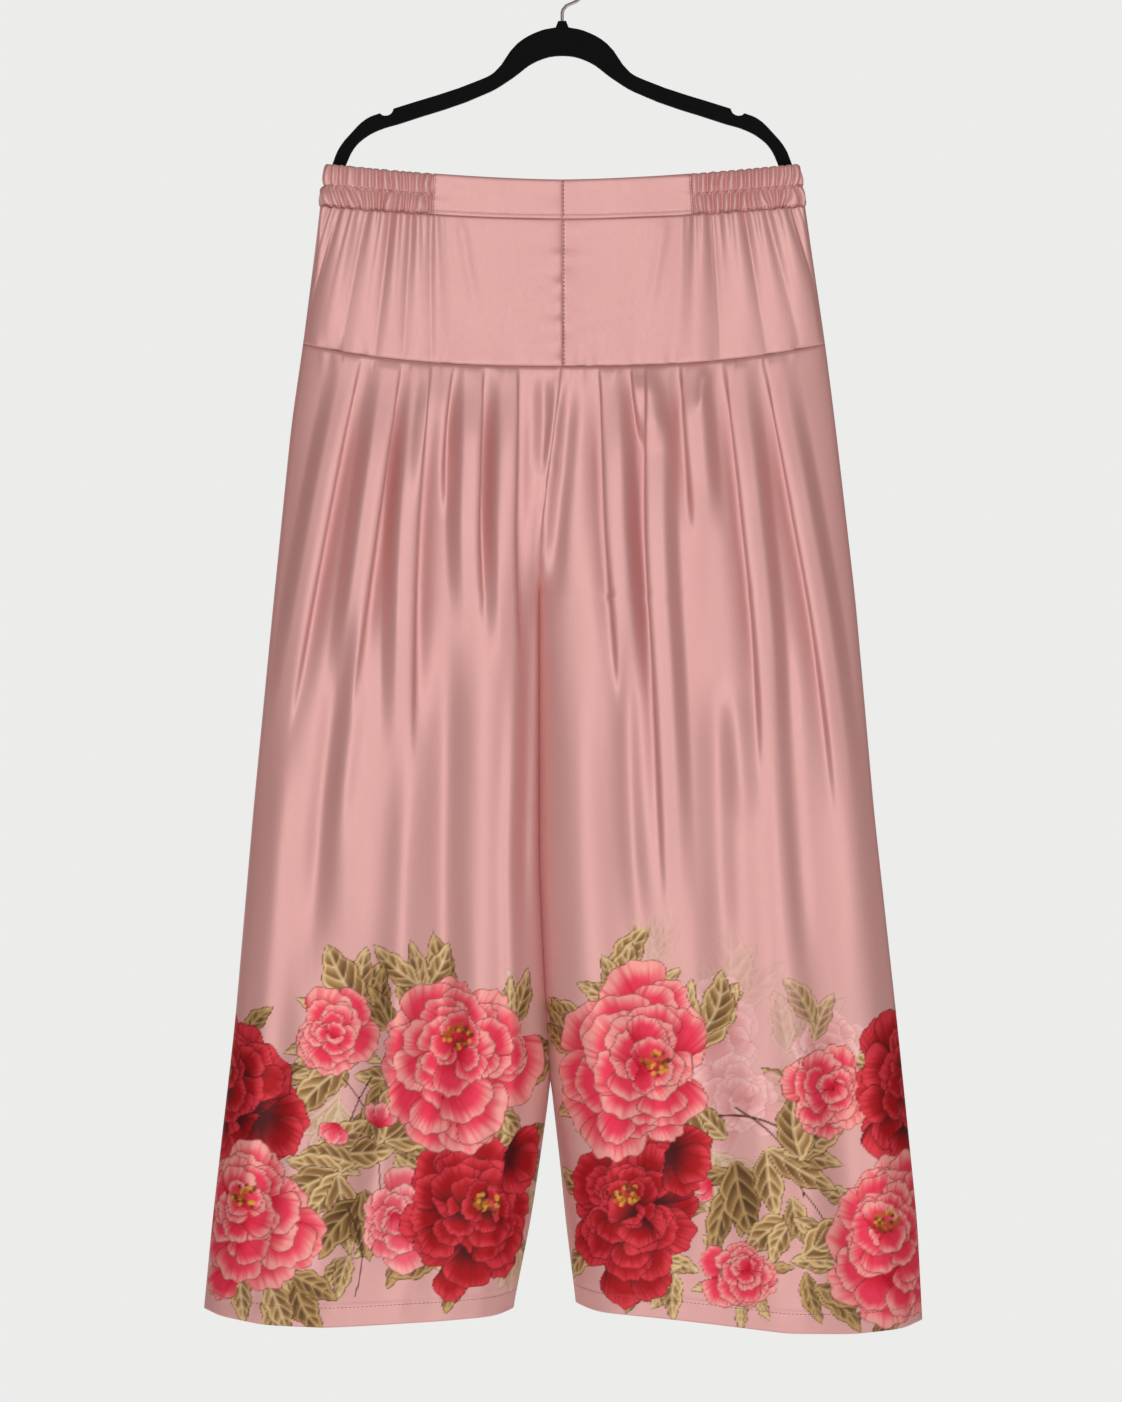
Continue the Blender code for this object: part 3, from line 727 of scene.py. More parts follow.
def bumped(tree, height, strength, distance, below=None):
    """The normal of a surface with a relief on it, over the relief below where there is one."""
    bump = tree.nodes.new("ShaderNodeBump")
    bump.inputs["Strength"].default_value = strength
    bump.inputs["Distance"].default_value = distance
    tree.links.new(height, bump.inputs["Height"])
    if below:
        tree.links.new(below, bump.inputs["Normal"])
    return bump.outputs["Normal"]


def satin_material(name, printed):
    """Pink satin: a cloudy tint, long soft streaks and a fine weave, with the print over it."""
    material, tree, shader = new_material(name)
    red, green, blue = SATIN_PINK
    dark = (red * 0.97, green * 0.93, blue * 0.93)
    light = (red * 1.02, green * 1.05, blue * 1.05)
    color = mixed(tree, noise(tree, (30.0, 30.0, 3.0), 3.0), dark, light)
    if printed:
        ink = tree.nodes.new("ShaderNodeAttribute")
        ink.attribute_name = "print_color"
        color = mixed(tree, ink.outputs["Alpha"], color, ink.outputs["Color"])
    tree.links.new(color, shader.inputs["Base Color"])
    yarn = noise(tree, (900.0, 900.0, 260.0))
    tree.links.new(ranged(tree, yarn, 0.48, 0.60), shader.inputs["Roughness"])
    streaks = bumped(tree, noise(tree, (85.0, 85.0, 14.0), 3.0), 0.12, 0.0012)
    tree.links.new(bumped(tree, yarn, 0.18, 0.0002, streaks), shader.inputs["Normal"])
    shader.inputs["Metallic"].default_value = 0.48
    shader.inputs["Specular IOR Level"].default_value = 0.45
    shader.inputs["Sheen Weight"].default_value = 0.05
    shader.inputs["Sheen Roughness"].default_value = 0.35
    shader.inputs["Sheen Tint"].default_value = (1.0, 0.86, 0.84, 1.0)
    return material


def velvet_material():
    """Black flocked plastic."""
    material, tree, shader = new_material("hanger_black")
    fibre = noise(tree, (2600.0, 2600.0, 2600.0))
    color = mixed(tree, fibre, (0.0022, 0.0022, 0.0024), (0.0060, 0.0060, 0.0064))
    tree.links.new(color, shader.inputs["Base Color"])
    tree.links.new(bumped(tree, fibre, 0.5, 0.0002), shader.inputs["Normal"])
    shader.inputs["Roughness"].default_value = 0.85
    shader.inputs["Specular IOR Level"].default_value = 0.12
    shader.inputs["Sheen Weight"].default_value = 0.01
    shader.inputs["Sheen Roughness"].default_value = 0.5
    return material


def wire_material():
    """Drawn steel wire."""
    material, tree, shader = new_material("hook_wire")
    drawn = noise(tree, (900.0, 900.0, 900.0))
    tree.links.new(ranged(tree, drawn, 0.22, 0.38), shader.inputs["Roughness"])
    color = mixed(tree, drawn, (0.40, 0.40, 0.41), (0.56, 0.56, 0.57))
    tree.links.new(color, shader.inputs["Base Color"])
    shader.inputs["Metallic"].default_value = 1.0
    return material


def thread_material():
    """Twisted sewing thread, darker than the satin."""
    material, tree, shader = new_material("thread")
    twist = noise(tree, (1500.0, 1500.0, 1500.0))
    color = mixed(tree, twist, srgb(116, 66, 62), srgb(158, 104, 99))
    tree.links.new(color, shader.inputs["Base Color"])
    shader.inputs["Roughness"].default_value = 0.7
    return material


SATIN = satin_material("satin", printed=False)
SATIN_PRINTED = satin_material("satin_printed", printed=True)


# ---------------------------------------------------------------- the print
# The border is painted on the flat cloth, one shape laid over another.
Palette = namedtuple("Palette", "deep mid pale line")
PINK = Palette(srgb(206, 0, 38), srgb(236, 56, 88), srgb(248, 178, 168), srgb(96, 8, 24))
ROSE = Palette(srgb(216, 20, 60), srgb(240, 96, 116), srgb(250, 190, 182), srgb(112, 22, 38))
CRIMSON = Palette(srgb(76, 0, 6), srgb(176, 0, 14), srgb(228, 62, 76), srgb(44, 0, 6))
OLIVE = Palette(srgb(82, 48, 16), srgb(158, 110, 44), srgb(230, 202, 150), srgb(58, 32, 12))
BEIGE = Palette(srgb(176, 146, 104), srgb(204, 176, 136), srgb(232, 210, 182), srgb(150, 116, 84))
GHOST = Palette(srgb(214, 144, 142), srgb(230, 168, 166), srgb(248, 208, 204), srgb(196, 132, 128))
GHOST_LEAF = Palette(srgb(178, 140, 118), srgb(200, 164, 142), srgb(228, 196, 178), srgb(160, 120, 102))
DARK_LEAF = Palette(srgb(60, 36, 16), srgb(124, 84, 38), srgb(204, 170, 112), srgb(46, 26, 12))
GOLD = (srgb(222, 160, 62), srgb(180, 104, 30), srgb(120, 56, 20))
LINE_WIDTH = 0.0013
INK_EDGE = 0.0004         # half the width over which ink fades out at a shape's edge
STAMENS = 34
LEAF_VEINS = 4.6
LEAF_BEND = 0.85
BACKING_LEAVES = 6
LEAF_RIM = 0.0026         # how far the pale rim of a leaf lies inside its edge


class Canvas:
    """Points of flat cloth, the colour of the ink on each, and how much of it covers them."""

    def __init__(self, across, height):
        self.across = across
        self.height = height
        self.color = np.zeros(across.shape + (3,)) + SATIN_PINK
        self.cover = np.zeros(across.shape)

    def near(self, x, z, reach):
        return np.nonzero((np.abs(self.across - x) < reach) & (np.abs(self.height - z) < reach))

    def lay(self, where, color, cover):
        """Lays ink over the points at where, mixed by cover."""
        part = cover[:, None]
        self.color[where] = mix(self.color[where], color, part)
        self.cover[where] = self.cover[where] * (1.0 - cover) + cover


def local(canvas, where, x, z, angle, length, width):
    """Coordinates along and across a shape: 0 to 1 along it, -1 to 1 across it."""
    dx = canvas.across[where] - x
    dz = canvas.height[where] - z
    along = (dx * math.cos(angle) + dz * math.sin(angle)) / length
    aside = (dz * math.cos(angle) - dx * math.sin(angle)) / (width / 2.0)
    return along, aside


def petal(canvas, x, z, angle, length, width, palette, seed, ink=1.0):
    """A fan-shaped petal with a scalloped rim, pale at the rim and deep at its base."""
    where = canvas.near(x, z, max(length, width) * 1.25)
    along, aside = local(canvas, where, x, z, angle, length, width)
    spread = 0.38 + 0.62 * rise(along / 0.65)
    ring = np.sqrt(((along - 0.5) / 0.5) ** 2 + (aside / spread) ** 2)
    turn = np.arctan2(aside / spread, along - 0.35)
    lobes = 3 + int(hashed(seed, 1) * 3)
    rim = 1.0 + 0.055 * np.cos(lobes * turn * 1.6 + 6.0 * hashed(seed, 2))
    rim = rim + 0.030 * wander(turn * 5.0 + seed, 7)
    inside = ring / rim
    scale = min(length, width) / 2.0
    from_edge = (1.0 - inside) * scale
    color = mix(np.array(palette.deep), np.array(palette.mid), rise((along - 0.12) / 0.55)[:, None])
    paling = rise((inside - 0.25 - 0.30 * hashed(seed, 6)) / 0.60) * rise((along - 0.28) / 0.50)
    fan = np.arctan2(aside, along + 0.25)
    streak = wander(fan * 17.0, seed + 3)
    paling = np.clip(paling * (1.0 + 0.55 * streak), 0.0, 1.0)
    color = mix(color, np.array(palette.pale), (0.85 * paling)[:, None])
    vein = np.clip(-streak - 0.25, 0.0, 1.0) * rise((1.0 - along) / 0.6)
    color = mix(color, np.array(palette.deep), (0.70 * vein)[:, None])
    line = rise((LINE_WIDTH - from_edge) / (0.8 * LINE_WIDTH))
    color = mix(color, np.array(palette.line), (0.75 * line)[:, None])
    canvas.lay(where, color, ink * rise((from_edge + INK_EDGE) / (2.0 * INK_EDGE)))


def leaf(canvas, x, z, angle, length, width, palette, seed, ink=1.0):
    """A pointed leaf with a toothed edge, a pale midrib and side veins."""
    where = canvas.near(x, z, length * 1.1)
    along, aside = local(canvas, where, x, z, angle, length, width)
    aside = aside + LEAF_BEND * (hashed(seed, 4) - 0.5) * np.sin(math.pi * along)
    lobe = np.abs(np.cos(math.pi * (along * 3.2 + 0.25 * hashed(seed, 6))))
    body = np.sin(math.pi * np.clip(along, 0.0, 1.0) ** 0.80) ** 0.80 * (0.82 + 0.20 * lobe)
    from_edge = (body - np.abs(aside)) * width / 2.0
    from_edge = np.where((along > 0.0) & (along < 1.0), from_edge, -0.01)
    outward = np.clip(np.abs(aside) / np.maximum(body, 0.05), 0.0, 1.0)
    bright_half = aside * (1.0 if hashed(seed, 5) > 0.5 else -1.0) > 0.0
    shade = 0.15 + 0.55 * rise(outward) + 0.30 * bright_half
    color = mix(np.array(palette.deep), np.array(palette.mid), np.clip(shade, 0.0, 1.0)[:, None])
    slant = (along - 0.38 * np.abs(aside) ** 1.4) * LEAF_VEINS
    between = slant - np.floor(slant)
    glow = between ** 2 * (0.30 + 0.45 * bright_half)
    color = mix(color, np.array(palette.pale), glow[:, None])
    from_vein = np.minimum(between, 1.0 - between) / LEAF_VEINS * length
    color = mix(color, np.array(palette.pale), (0.60 * bell(from_vein, 0.0012))[:, None])
    color = mix(color, np.array(palette.pale), (0.85 * bell(aside * width / 2.0, 0.0013))[:, None])
    rim = bell(from_edge - LEAF_RIM, 0.0013) * (0.35 + 0.55 * bright_half)
    color = mix(color, np.array(palette.pale), rim[:, None])
    line = rise((LINE_WIDTH - from_edge) / (0.8 * LINE_WIDTH))
    color = mix(color, np.array(palette.line), (0.8 * line)[:, None])
    canvas.lay(where, color, ink * rise((from_edge + INK_EDGE) / (2.0 * INK_EDGE)))


def stem(canvas, x, z, angle, length, bend):
    """A thin stem that bows by bend halfway along."""
    where = canvas.near(x, z, length * 1.1)
    along, aside = local(canvas, where, x, z, angle, length, 2.0)
    off = np.abs(aside - bend * np.sin(math.pi * np.clip(along, 0.0, 1.0)))
    cover = rise((0.0013 - off) / 0.0008) * (along > 0.0) * (along < 1.0)
    canvas.lay(where, np.array(OLIVE.deep), cover)


def stamens(canvas, x, z, spread, seed):
    """A tuft of gold stamens with dark heads."""
    for number in range(STAMENS):
        angle = 2.0 * math.pi * hashed(number, seed)
        away = spread * math.sqrt(hashed(number, seed + 1))
        dot_x, dot_z = x + away * math.cos(angle), z + 0.8 * away * math.sin(angle)
        where = canvas.near(dot_x, dot_z, 0.004)
        far = np.hypot(canvas.across[where] - dot_x, canvas.height[where] - dot_z)
        color = GOLD[int(hashed(number, seed + 2) * 3)]
        canvas.lay(where, np.array(color), rise((0.0026 - far) / 0.0014))


FULL = ((1.00, 9, 0.66), (0.84, 9, 0.58), (0.66, 8, 0.50), (0.48, 7, 0.42), (0.30, 5, 0.34))
CUPPED = ((1.00, 6, 0.92), (0.80, 6, 0.78), (0.56, 5, 0.60), (0.34, 4, 0.46))


def bloom(canvas, x, z, across, tall, palette, seed, rings=FULL, ink=1.0):
    """A peony: rings of petals, each ring smaller, laid over the last and nearer its heart."""
    where = canvas.near(x, z, max(across, tall))
    ground = np.hypot((canvas.across[where] - x) / across, (canvas.height[where] - z) / tall)
    canvas.lay(where, np.array(palette.deep), ink * rise((0.72 - ground) / 0.05))
    lean = 2.0 * math.pi * hashed(seed, 14)
    heart_x, heart_z = 0.30 * across * math.cos(lean), 0.30 * tall * math.sin(lean)
    for index, (reach, count, size) in enumerate(rings):
        order = sorted(range(count), key=lambda n: hashed(n + 20 * index, seed))
        centre_x, centre_z = x + heart_x * (1.0 - reach), z + heart_z * (1.0 - reach)
        for number in order:
            key = seed * 97 + index * 31 + number
            angle = 2.0 * math.pi * (number + 0.8 * hashed(key, 8)) / count + index
            out = reach * (0.84 + 0.26 * hashed(key, 9))
            length = size * (across + tall) / 2.0 * (0.85 + 0.40 * hashed(key, 10))
            tip_x, tip_z = out * across * math.cos(angle), out * tall * math.sin(angle)
            facing = math.atan2(tip_z, tip_x) + 0.9 * (hashed(key, 11) - 0.5)
            petal(canvas, centre_x + tip_x - length * math.cos(facing),
                  centre_z + tip_z - length * math.sin(facing), facing, length,
                  length * (0.80 + 0.55 * hashed(key, 12)), palette, key, ink)
    if rings is FULL:
        stamens(canvas, x + heart_x, z + heart_z, 0.20 * across, seed)


def spray(canvas, x, z, angle, size, count, palette, seed, ink=1.0):
    """A spray of leaves fanned from one point."""
    for number in range(count):
        turn = angle + (number - (count - 1) / 2.0) * 0.46 + 0.7 * (hashed(number, seed) - 0.5)
        length = size * (0.75 + 0.45 * hashed(number, seed + 1))
        away = 0.45 * size * hashed(number, seed + 2)
        broad = length * (0.36 + 0.22 * hashed(number, seed + 3))
        leaf(canvas, x + away * math.cos(angle), z + away * math.sin(angle), turn, length, broad,
             palette, seed * 13 + number, ink)


# Every motif of the border.  across and height place it, and turn is its direction in degrees.
# wide and tall are a bloom's or cup's half sizes, the length and number of a spray's leaves,
# the length and width of loose petals, or the length and bow of a stem.
Motif = namedtuple("Motif", "kind across height wide tall turn palette ink", defaults=(1.0,))
BORDER = {
    "right": (
        Motif("spray", -0.196, -1.000, 0.060, 4, 262, BEIGE, 0.75),
        Motif("spray", -0.244, -1.072, 0.056, 4, 10, BEIGE, 0.70),
        Motif("spray", -0.028, -1.050, 0.052, 4, 250, BEIGE, 0.75),
        Motif("spray", -0.020, -0.945, 0.050, 3, 120, BEIGE, 0.70),
        Motif("spray", -0.030, -1.120, 0.050, 3, 280, BEIGE, 0.80),
        Motif("spray", -0.180, -0.932, 0.056, 3, 84, OLIVE),
        Motif("spray", -0.120, -0.932, 0.062, 3, 100, OLIVE),
        Motif("spray", -0.146, -0.950, 0.050, 3, 130, DARK_LEAF),
        Motif("spray", -0.046, -0.948, 0.056, 2, 72, OLIVE),
        Motif("spray", -0.030, -0.990, 0.044, 3, 40, DARK_LEAF),
        Motif("stem", -0.205, -0.975, 0.125, 0.016, -68, OLIVE),
        Motif("stem", -0.168, -0.985, 0.110, -0.012, -100, OLIVE),
        Motif("spray", -0.170, -0.968, 0.056, 3, 200, OLIVE),
        Motif("spray", -0.156, -0.985, 0.056, 4, 262, DARK_LEAF),
        Motif("spray", -0.220, -1.045, 0.058, 4, 335, OLIVE),
        Motif("spray", -0.178, -1.060, 0.062, 5, 210, OLIVE),
        Motif("spray", -0.170, -1.052, 0.060, 4, 40, OLIVE),
        Motif("spray", -0.176, -1.075, 0.060, 4, 285, DARK_LEAF),
        Motif("petals", -0.198, -1.026, 0.020, 0.016, 250, ROSE),
        Motif("petals", -0.160, -1.030, 0.024, 0.016, 80, ROSE),
        Motif("stem", -0.188, -1.100, 0.078, 0.010, -84, OLIVE),
        Motif("spray", -0.184, -1.135, 0.042, 2, 262, OLIVE),
        Motif("spray", -0.246, -1.150, 0.054, 2, 318, DARK_LEAF),
        Motif("spray", -0.262, -1.150, 0.052, 2, 286, OLIVE),
        Motif("spray", -0.046, -1.050, 0.046, 3, 345, DARK_LEAF),
        Motif("bloom", -0.300, -0.994, 0.062, 0.066, 0, CRIMSON),
        Motif("petals", -0.268, -1.020, 0.046, 0.044, -40, CRIMSON),
        Motif("bloom", -0.280, -1.112, 0.068, 0.072, 0, PINK),
        Motif("cup", -0.200, -0.948, 0.037, 0.038, 0, PINK),
        Motif("cup", -0.140, -1.112, 0.036, 0.046, 0, ROSE),
        Motif("bloom", -0.078, -1.106, 0.060, 0.072, 0, CRIMSON),
        Motif("petals", -0.046, -1.052, 0.042, 0.040, -20, CRIMSON),
        Motif("bloom", -0.092, -0.974, 0.072, 0.084, 0, PINK),
    ),
    "left": (
        Motif("spray", 0.140, -0.940, 0.066, 4, 82, GHOST_LEAF, 0.50),
        Motif("spray", 0.190, -0.985, 0.062, 4, 70, GHOST_LEAF, 0.60),
        Motif("cup", 0.130, -0.950, 0.052, 0.050, 0, GHOST, 0.60),
        Motif("cup", 0.150, -1.006, 0.046, 0.040, 0, GHOST, 0.70),
        Motif("cup", 0.236, -0.960, 0.034, 0.030, 0, GHOST, 0.80),
        Motif("spray", 0.076, -0.905, 0.050, 3, 84, GHOST_LEAF, 0.50),
        Motif("spray", 0.125, -1.040, 0.060, 4, 300, BEIGE, 0.75),
        Motif("spray", 0.232, -1.060, 0.052, 4, 120, BEIGE, 0.70),
        Motif("spray", 0.046, -0.932, 0.058, 4, 92, OLIVE),
        Motif("spray", 0.012, -0.975, 0.048, 3, 130, DARK_LEAF),
        Motif("spray", 0.114, -0.962, 0.060, 4, 66, OLIVE),
        Motif("spray", 0.222, -0.955, 0.048, 3, 95, OLIVE, 0.8),
        Motif("stem", 0.118, -1.020, 0.115, 0.016, -20, OLIVE),
        Motif("stem", 0.150, -1.012, 0.100, 0.012, -52, OLIVE),
        Motif("spray", 0.150, -1.040, 0.062, 4, 178, OLIVE),
        Motif("spray", 0.150, -1.052, 0.060, 4, 262, DARK_LEAF),
        Motif("spray", 0.178, -1.048, 0.062, 5, 340, OLIVE),
        Motif("spray", 0.208, -1.060, 0.056, 4, 64, OLIVE),
        Motif("spray", 0.200, -1.085, 0.058, 4, 275, OLIVE),
        Motif("petals", 0.130, -1.078, 0.020, 0.014, 200, ROSE),
        Motif("stem", 0.210, -1.085, 0.090, 0.010, -70, OLIVE),
        Motif("spray", 0.208, -1.150, 0.058, 3, 305, DARK_LEAF),
        Motif("spray", 0.206, -1.145, 0.052, 3, 30, OLIVE),
        Motif("spray", 0.104, -1.150, 0.040, 3, 225, OLIVE),
        Motif("cup", 0.230, -0.998, 0.040, 0.042, 0, PINK),
        Motif("bloom", 0.310, -0.998, 0.056, 0.070, 0, CRIMSON),
        Motif("bloom", 0.298, -1.130, 0.068, 0.078, 0, PINK),
        Motif("cup", 0.154, -1.160, 0.036, 0.034, 0, PINK),
        Motif("bloom", 0.058, -1.108, 0.060, 0.072, 0, CRIMSON),
        Motif("petals", 0.088, -1.052, 0.042, 0.040, -20, CRIMSON),
        Motif("bloom", 0.060, -0.974, 0.068, 0.084, 0, PINK),
    ),
}


def lay_backing(canvas, motif, seed):
    """Leaves that peep out from behind a bloom."""
    for number in range(BACKING_LEAVES):
        key = seed * 53 + number
        turn = 2.0 * math.pi * (number + 0.7 * hashed(key, 15)) / BACKING_LEAVES
        length = motif.wide * (0.62 + 0.28 * hashed(key, 16))
        x = motif.across + 0.64 * motif.wide * math.cos(turn)
        z = motif.height + 0.64 * motif.tall * math.sin(turn)
        palette = DARK_LEAF if hashed(key, 17) > 0.6 else OLIVE
        leaf(canvas, x, z, turn + 0.9 * (hashed(key, 18) - 0.5), length, 0.48 * length, palette, key)


def lay_motif(canvas, motif, seed):
    place = (canvas, motif.across, motif.height)
    if motif.kind in ("bloom", "cup"):
        bloom(*place, motif.wide, motif.tall, motif.palette, seed,
              FULL if motif.kind == "bloom" else CUPPED, motif.ink)
    elif motif.kind == "spray":
        spray(*place, math.radians(motif.turn), motif.wide, motif.tall, motif.palette, seed,
              motif.ink)
    elif motif.kind == "petals":
        for step in (-0.6, 0.6, 0.0):
            petal(*place, math.radians(motif.turn) + step, motif.wide, motif.tall,
                  motif.palette, seed + int(10 * step), motif.ink)
    else:
        stem(*place, math.radians(motif.turn), motif.wide, motif.tall)


def paint_border(side, face, across, height):
    """Ink colour and cover for each point of a leg.  The back repeats the front's border."""
    canvas = Canvas(across, height)
    first = 40 * (side == "left") + 400 * (face == "back")
    for number, motif in enumerate(BORDER[side]):
        if motif.kind in ("bloom", "cup") and motif.palette is not GHOST:
            lay_backing(canvas, motif, first + number)
    for number, motif in enumerate(BORDER[side]):
        lay_motif(canvas, motif, first + number)
    return np.concatenate([canvas.color, canvas.cover[..., None]], axis=-1)


# ---------------------------------------------------------------- pieces
HEM_PROBE = 80            # the column on which the spacing of a leg's rows is read


def cloth_piece(name, node, points, outward, material, extras=()):
    """A piece of the garment from its grid, in place of the frame's node."""
    mesh = grid_mesh("satin_" + name, points, outward, extras)
    return add_piece(mesh.name, mesh, material, "satin", node)


def turned_foot(points):
    """The rows that turn in under a piece's foot."""
    return [turned_row(points[-1:], 0.0006, 0.0001), turned_row(points[-1:], ALLOWANCE, 0.0)]


def make_leg(side, face):
    points, shares = leg_grid(side, face)
    places, z = arc_places(side, points, shares)
    sign = SIDES[side]
    step = points[-2, HEM_PROBE, 2] - points[-1, HEM_PROBE, 2]
    hem_row = len(points) - 1 - int(round(HEM_STITCH / step))
    sew(points[:, 2:-2], hem_row, facing_out(side, face), LONG_STITCH)
    points = joined(face_edge(points[:, :1], -sign), points, side_edge(points[:, -1:], sign))
    top = [turned_row(points[:1], ALLOWANCE, 0.0), turned_row(points[:1], 0.0008, -0.0001)]
    points = np.concatenate(top + [points] + hem_rows(points), axis=0)
    added = ((2, 4), (2, 2))
    color = paint_border(side, face, np.pad(places, added, mode="edge"),
                         np.pad(z, added, mode="edge"))
    name = "leg_{}_{}".format(face, side)
    return cloth_piece(name, name, points, facing_out(side, face), SATIN_PRINTED,
                       (("print_color", "FLOAT_COLOR", color),))


def torso_points(side, face, share, z, out):
    """Points of the ring with the cloth moved outwards by out."""
    x = SEAM_GAP / 2 + (half_width(side, z) - SEAM_GAP / 2) * share
    y = ring_depth(share, z)
    turn = share ** np.maximum(at_height("bluntness", z) * 0.5, 3.0)
    return np.stack([SIDES[side] * (x + out * turn), FACES[face] * (y + out), z], axis=-1)


def torso_grid(side, face, shares, top_at, foot_at, rows, out_at, scallop=0.0):
    """A grid from a piece's top edge to its foot.  out_at gives the cloth's relief.

    scallop is how far the top edge rises for each metre that its gathers stand out.
    """
    share = np.broadcast_to(shares[None, :], (len(rows), len(shares)))
    top, foot = top_at(share), foot_at(share)
    z = top + (foot - top) * rows[:, None]
    out = out_at(share, z, top, foot)
    points = torso_points(side, face, share, z, out)
    points[..., 2] += scallop * out * np.exp(-(top - z) / 0.0050)
    return points


def side_spaced(start, count, power):
    """Shares from start to the side seam, closer together where the ring turns."""
    flat = np.linspace(start, 0.93, int(count * 0.8))
    angle = np.linspace(math.asin(0.93 ** (power / 2.0)), math.pi / 2, count - len(flat) + 1)
    return np.concatenate([flat, np.sin(angle[1:]) ** (2.0 / power)])


YOKE_COLUMNS, YOKE_ROWS = 190, 84
FAN_PIVOT = {"front": 0.68, "back": 0.35}   # share from which the yoke's gathers spread
FAN_START = {"front": 0.47, "back": 0.03}   # share at which they begin
FAN_SPREAD = 0.35
YOKE_WIDTH = 0.215        # mean half width of a yoke, along which its gathers are spaced
Gathers = namedtuple("Gathers", "height pitch reach")   # reach: their length down the yoke
FINE_GATHERS = Gathers(0.0030, 0.0092, 0.26)
BROAD_GATHERS = Gathers(0.0062, 0.0210, 0.78)
CREASE_TOP = 0.42         # a light crease slants down each yoke between these shares
CREASE_FOOT = 0.29


def gathers(size, places, down, seed):
    """Ridges running down from a gathered edge, each fading out over its own length."""
    phase = places / size.pitch + 0.5 * wander(places / (2.6 * size.pitch), seed)
    ridge = np.floor(phase + 0.5)
    height = 0.55 + 0.45 * hashed(ridge, seed + 1)
    length = size.reach * (0.55 + 0.90 * hashed(ridge, seed + 2))
    return size.height * (puffed(phase, 0.80) * height * np.exp(-(down / length) ** 1.3))


def yoke_relief(side, face):
    seed = 21 + 5 * (side == "left") + 11 * (face == "back")

    def out(share, z, top, foot):
        down = (top - z) / (top - foot)
        wide = half_width(side, z)
        along = share * wide
        pivot = FAN_PIVOT[face]
        source = pivot + (share - pivot) / (1.0 + FAN_SPREAD * down)
        gathered = rise((source - FAN_START[face]) / 0.09)
        fine = gathers(FINE_GATHERS, source * YOKE_WIDTH, down, seed)
        broad = gathers(BROAD_GATHERS, source * YOKE_WIDTH + 0.004, down, seed + 7)
        swell = (fine + broad) * gathered - 0.0022 * gathered * np.exp(-down / 0.25)
        swell = swell + 0.0014 * wander2(along / 0.060 + z / 0.20, z / 0.110, seed + 2)
        crease = np.abs(share - mix(CREASE_TOP, CREASE_FOOT, down)) * wide
        swell = swell + 0.0008 * bell(crease, 0.005) * rise(down / 0.1) * rise((0.8 - down) / 0.4)
        swell = swell + np.exp(-along / 0.010) * pucker(YOKE_SEAM_PUCKER, along, z, seed + 3)
        swell = swell + np.exp(-(z - foot) / 0.010) * ripple(YOKE_FOOT_PUCKER, along, z, seed + 4)
        swell = swell - groove(YOKE_SEAM_GROOVE, along) - groove(YOKE_FOOT_GROOVE, z - foot)
        return (swell - groove(YOKE_TOP_GROOVE, top - z)) * rise((1.0 - share) / 0.03)
    return out


def make_yoke(side, face):
    shares = side_spaced(0.0, YOKE_COLUMNS, 9.0)
    rows = np.linspace(0.0, 1.0, YOKE_ROWS)
    points = torso_grid(side, face, shares, yoke_top, yoke_end, rows, yoke_relief(side, face))
    sign = SIDES[side]
    if side == "left" and face == "front":
        sew(points.transpose(1, 0, 2), 1, not facing_out(side, face), BOLD_STITCH)
    points = joined(face_edge(points[:, :1], -sign), points, side_edge(points[:, -1:], sign))
    top = [turned_row(points[:1], ALLOWANCE, 0.0), turned_row(points[:1], 0.0006, -0.0001)]
    points = np.concatenate(top + [points] + turned_foot(points), axis=0)
    name = "yoke_{}_{}".format(face, side)
    return cloth_piece(name, name, points, facing_out(side, face), SATIN)


def flat_band_relief(side):
    seed = 41 + 5 * (side == "left")

    def out(share, z, top, foot):
        along = share * half_width(side, z)
        end = half_width(side, z) * FLAT_BAND_SHARE - along
        relief = ripple(BAND_SOFTNESS, along, z, seed)
        relief = relief + np.exp(-end / 0.012) * pucker(BAND_PULL, along, z, seed + 1)
        relief = relief - groove(BAND_SEAM_GROOVE, along) - groove(BAND_END_GROOVE, end)
        relief = relief - 0.0005 * bell(z - foot - BAND_STITCH, 0.0009)
        return relief - groove(BAND_TOP_ROLL, top - z) - groove(BAND_FOOT_ROLL, z - foot)
    return out


def finish_band(points):
    """Turns a band's top edge over and down inside, and its foot in."""
    top = [turned_row(points[:1], 0.0019, FACING), turned_row(points[:1], 0.0018, 0.0040),
           turned_row(points[:1], 0.0016, 0.0004), turned_row(points[:1], 0.0007, -0.0003)]
    return np.concatenate(top + [points] + turned_foot(points), axis=0)


FLAT_COLUMNS, FLAT_ROWS = 110, 40
ELASTIC_FRONT_COLUMNS, ELASTIC_BACK_COLUMNS, ELASTIC_ROWS = 190, 300, 46


def make_flat_band(side):
    shares = np.linspace(0.0, FLAT_BAND_SHARE, FLAT_COLUMNS)
    rows = np.linspace(0.0, 1.0, FLAT_ROWS)
    points = torso_grid(side, "front", shares, band_top, band_end, rows, flat_band_relief(side))
    sign = SIDES[side]
    outward = facing_out(side, "front")
    sew(points, len(rows) - 5, outward, FINE_STITCH)
    upright = points.transpose(1, 0, 2)
    sew(upright, len(shares) - 3, not outward, FINE_STITCH)
    if side == "left":
        sew(upright, 1, not outward, BOLD_STITCH)
    points = joined(face_edge(points[:, :1], -sign), points, face_edge(points[:, -1:], sign))
    return cloth_piece("band_front_" + side, "waistband_front_" + side, finish_band(points),
                       outward, SATIN)


CHANNEL_SWELL = 0.0030
CHANNELS = 2
GATHER = 0.0074           # mean width of a gather in the elastic band
GATHER_DEPTH = 0.0052
SCALLOP = 0.40


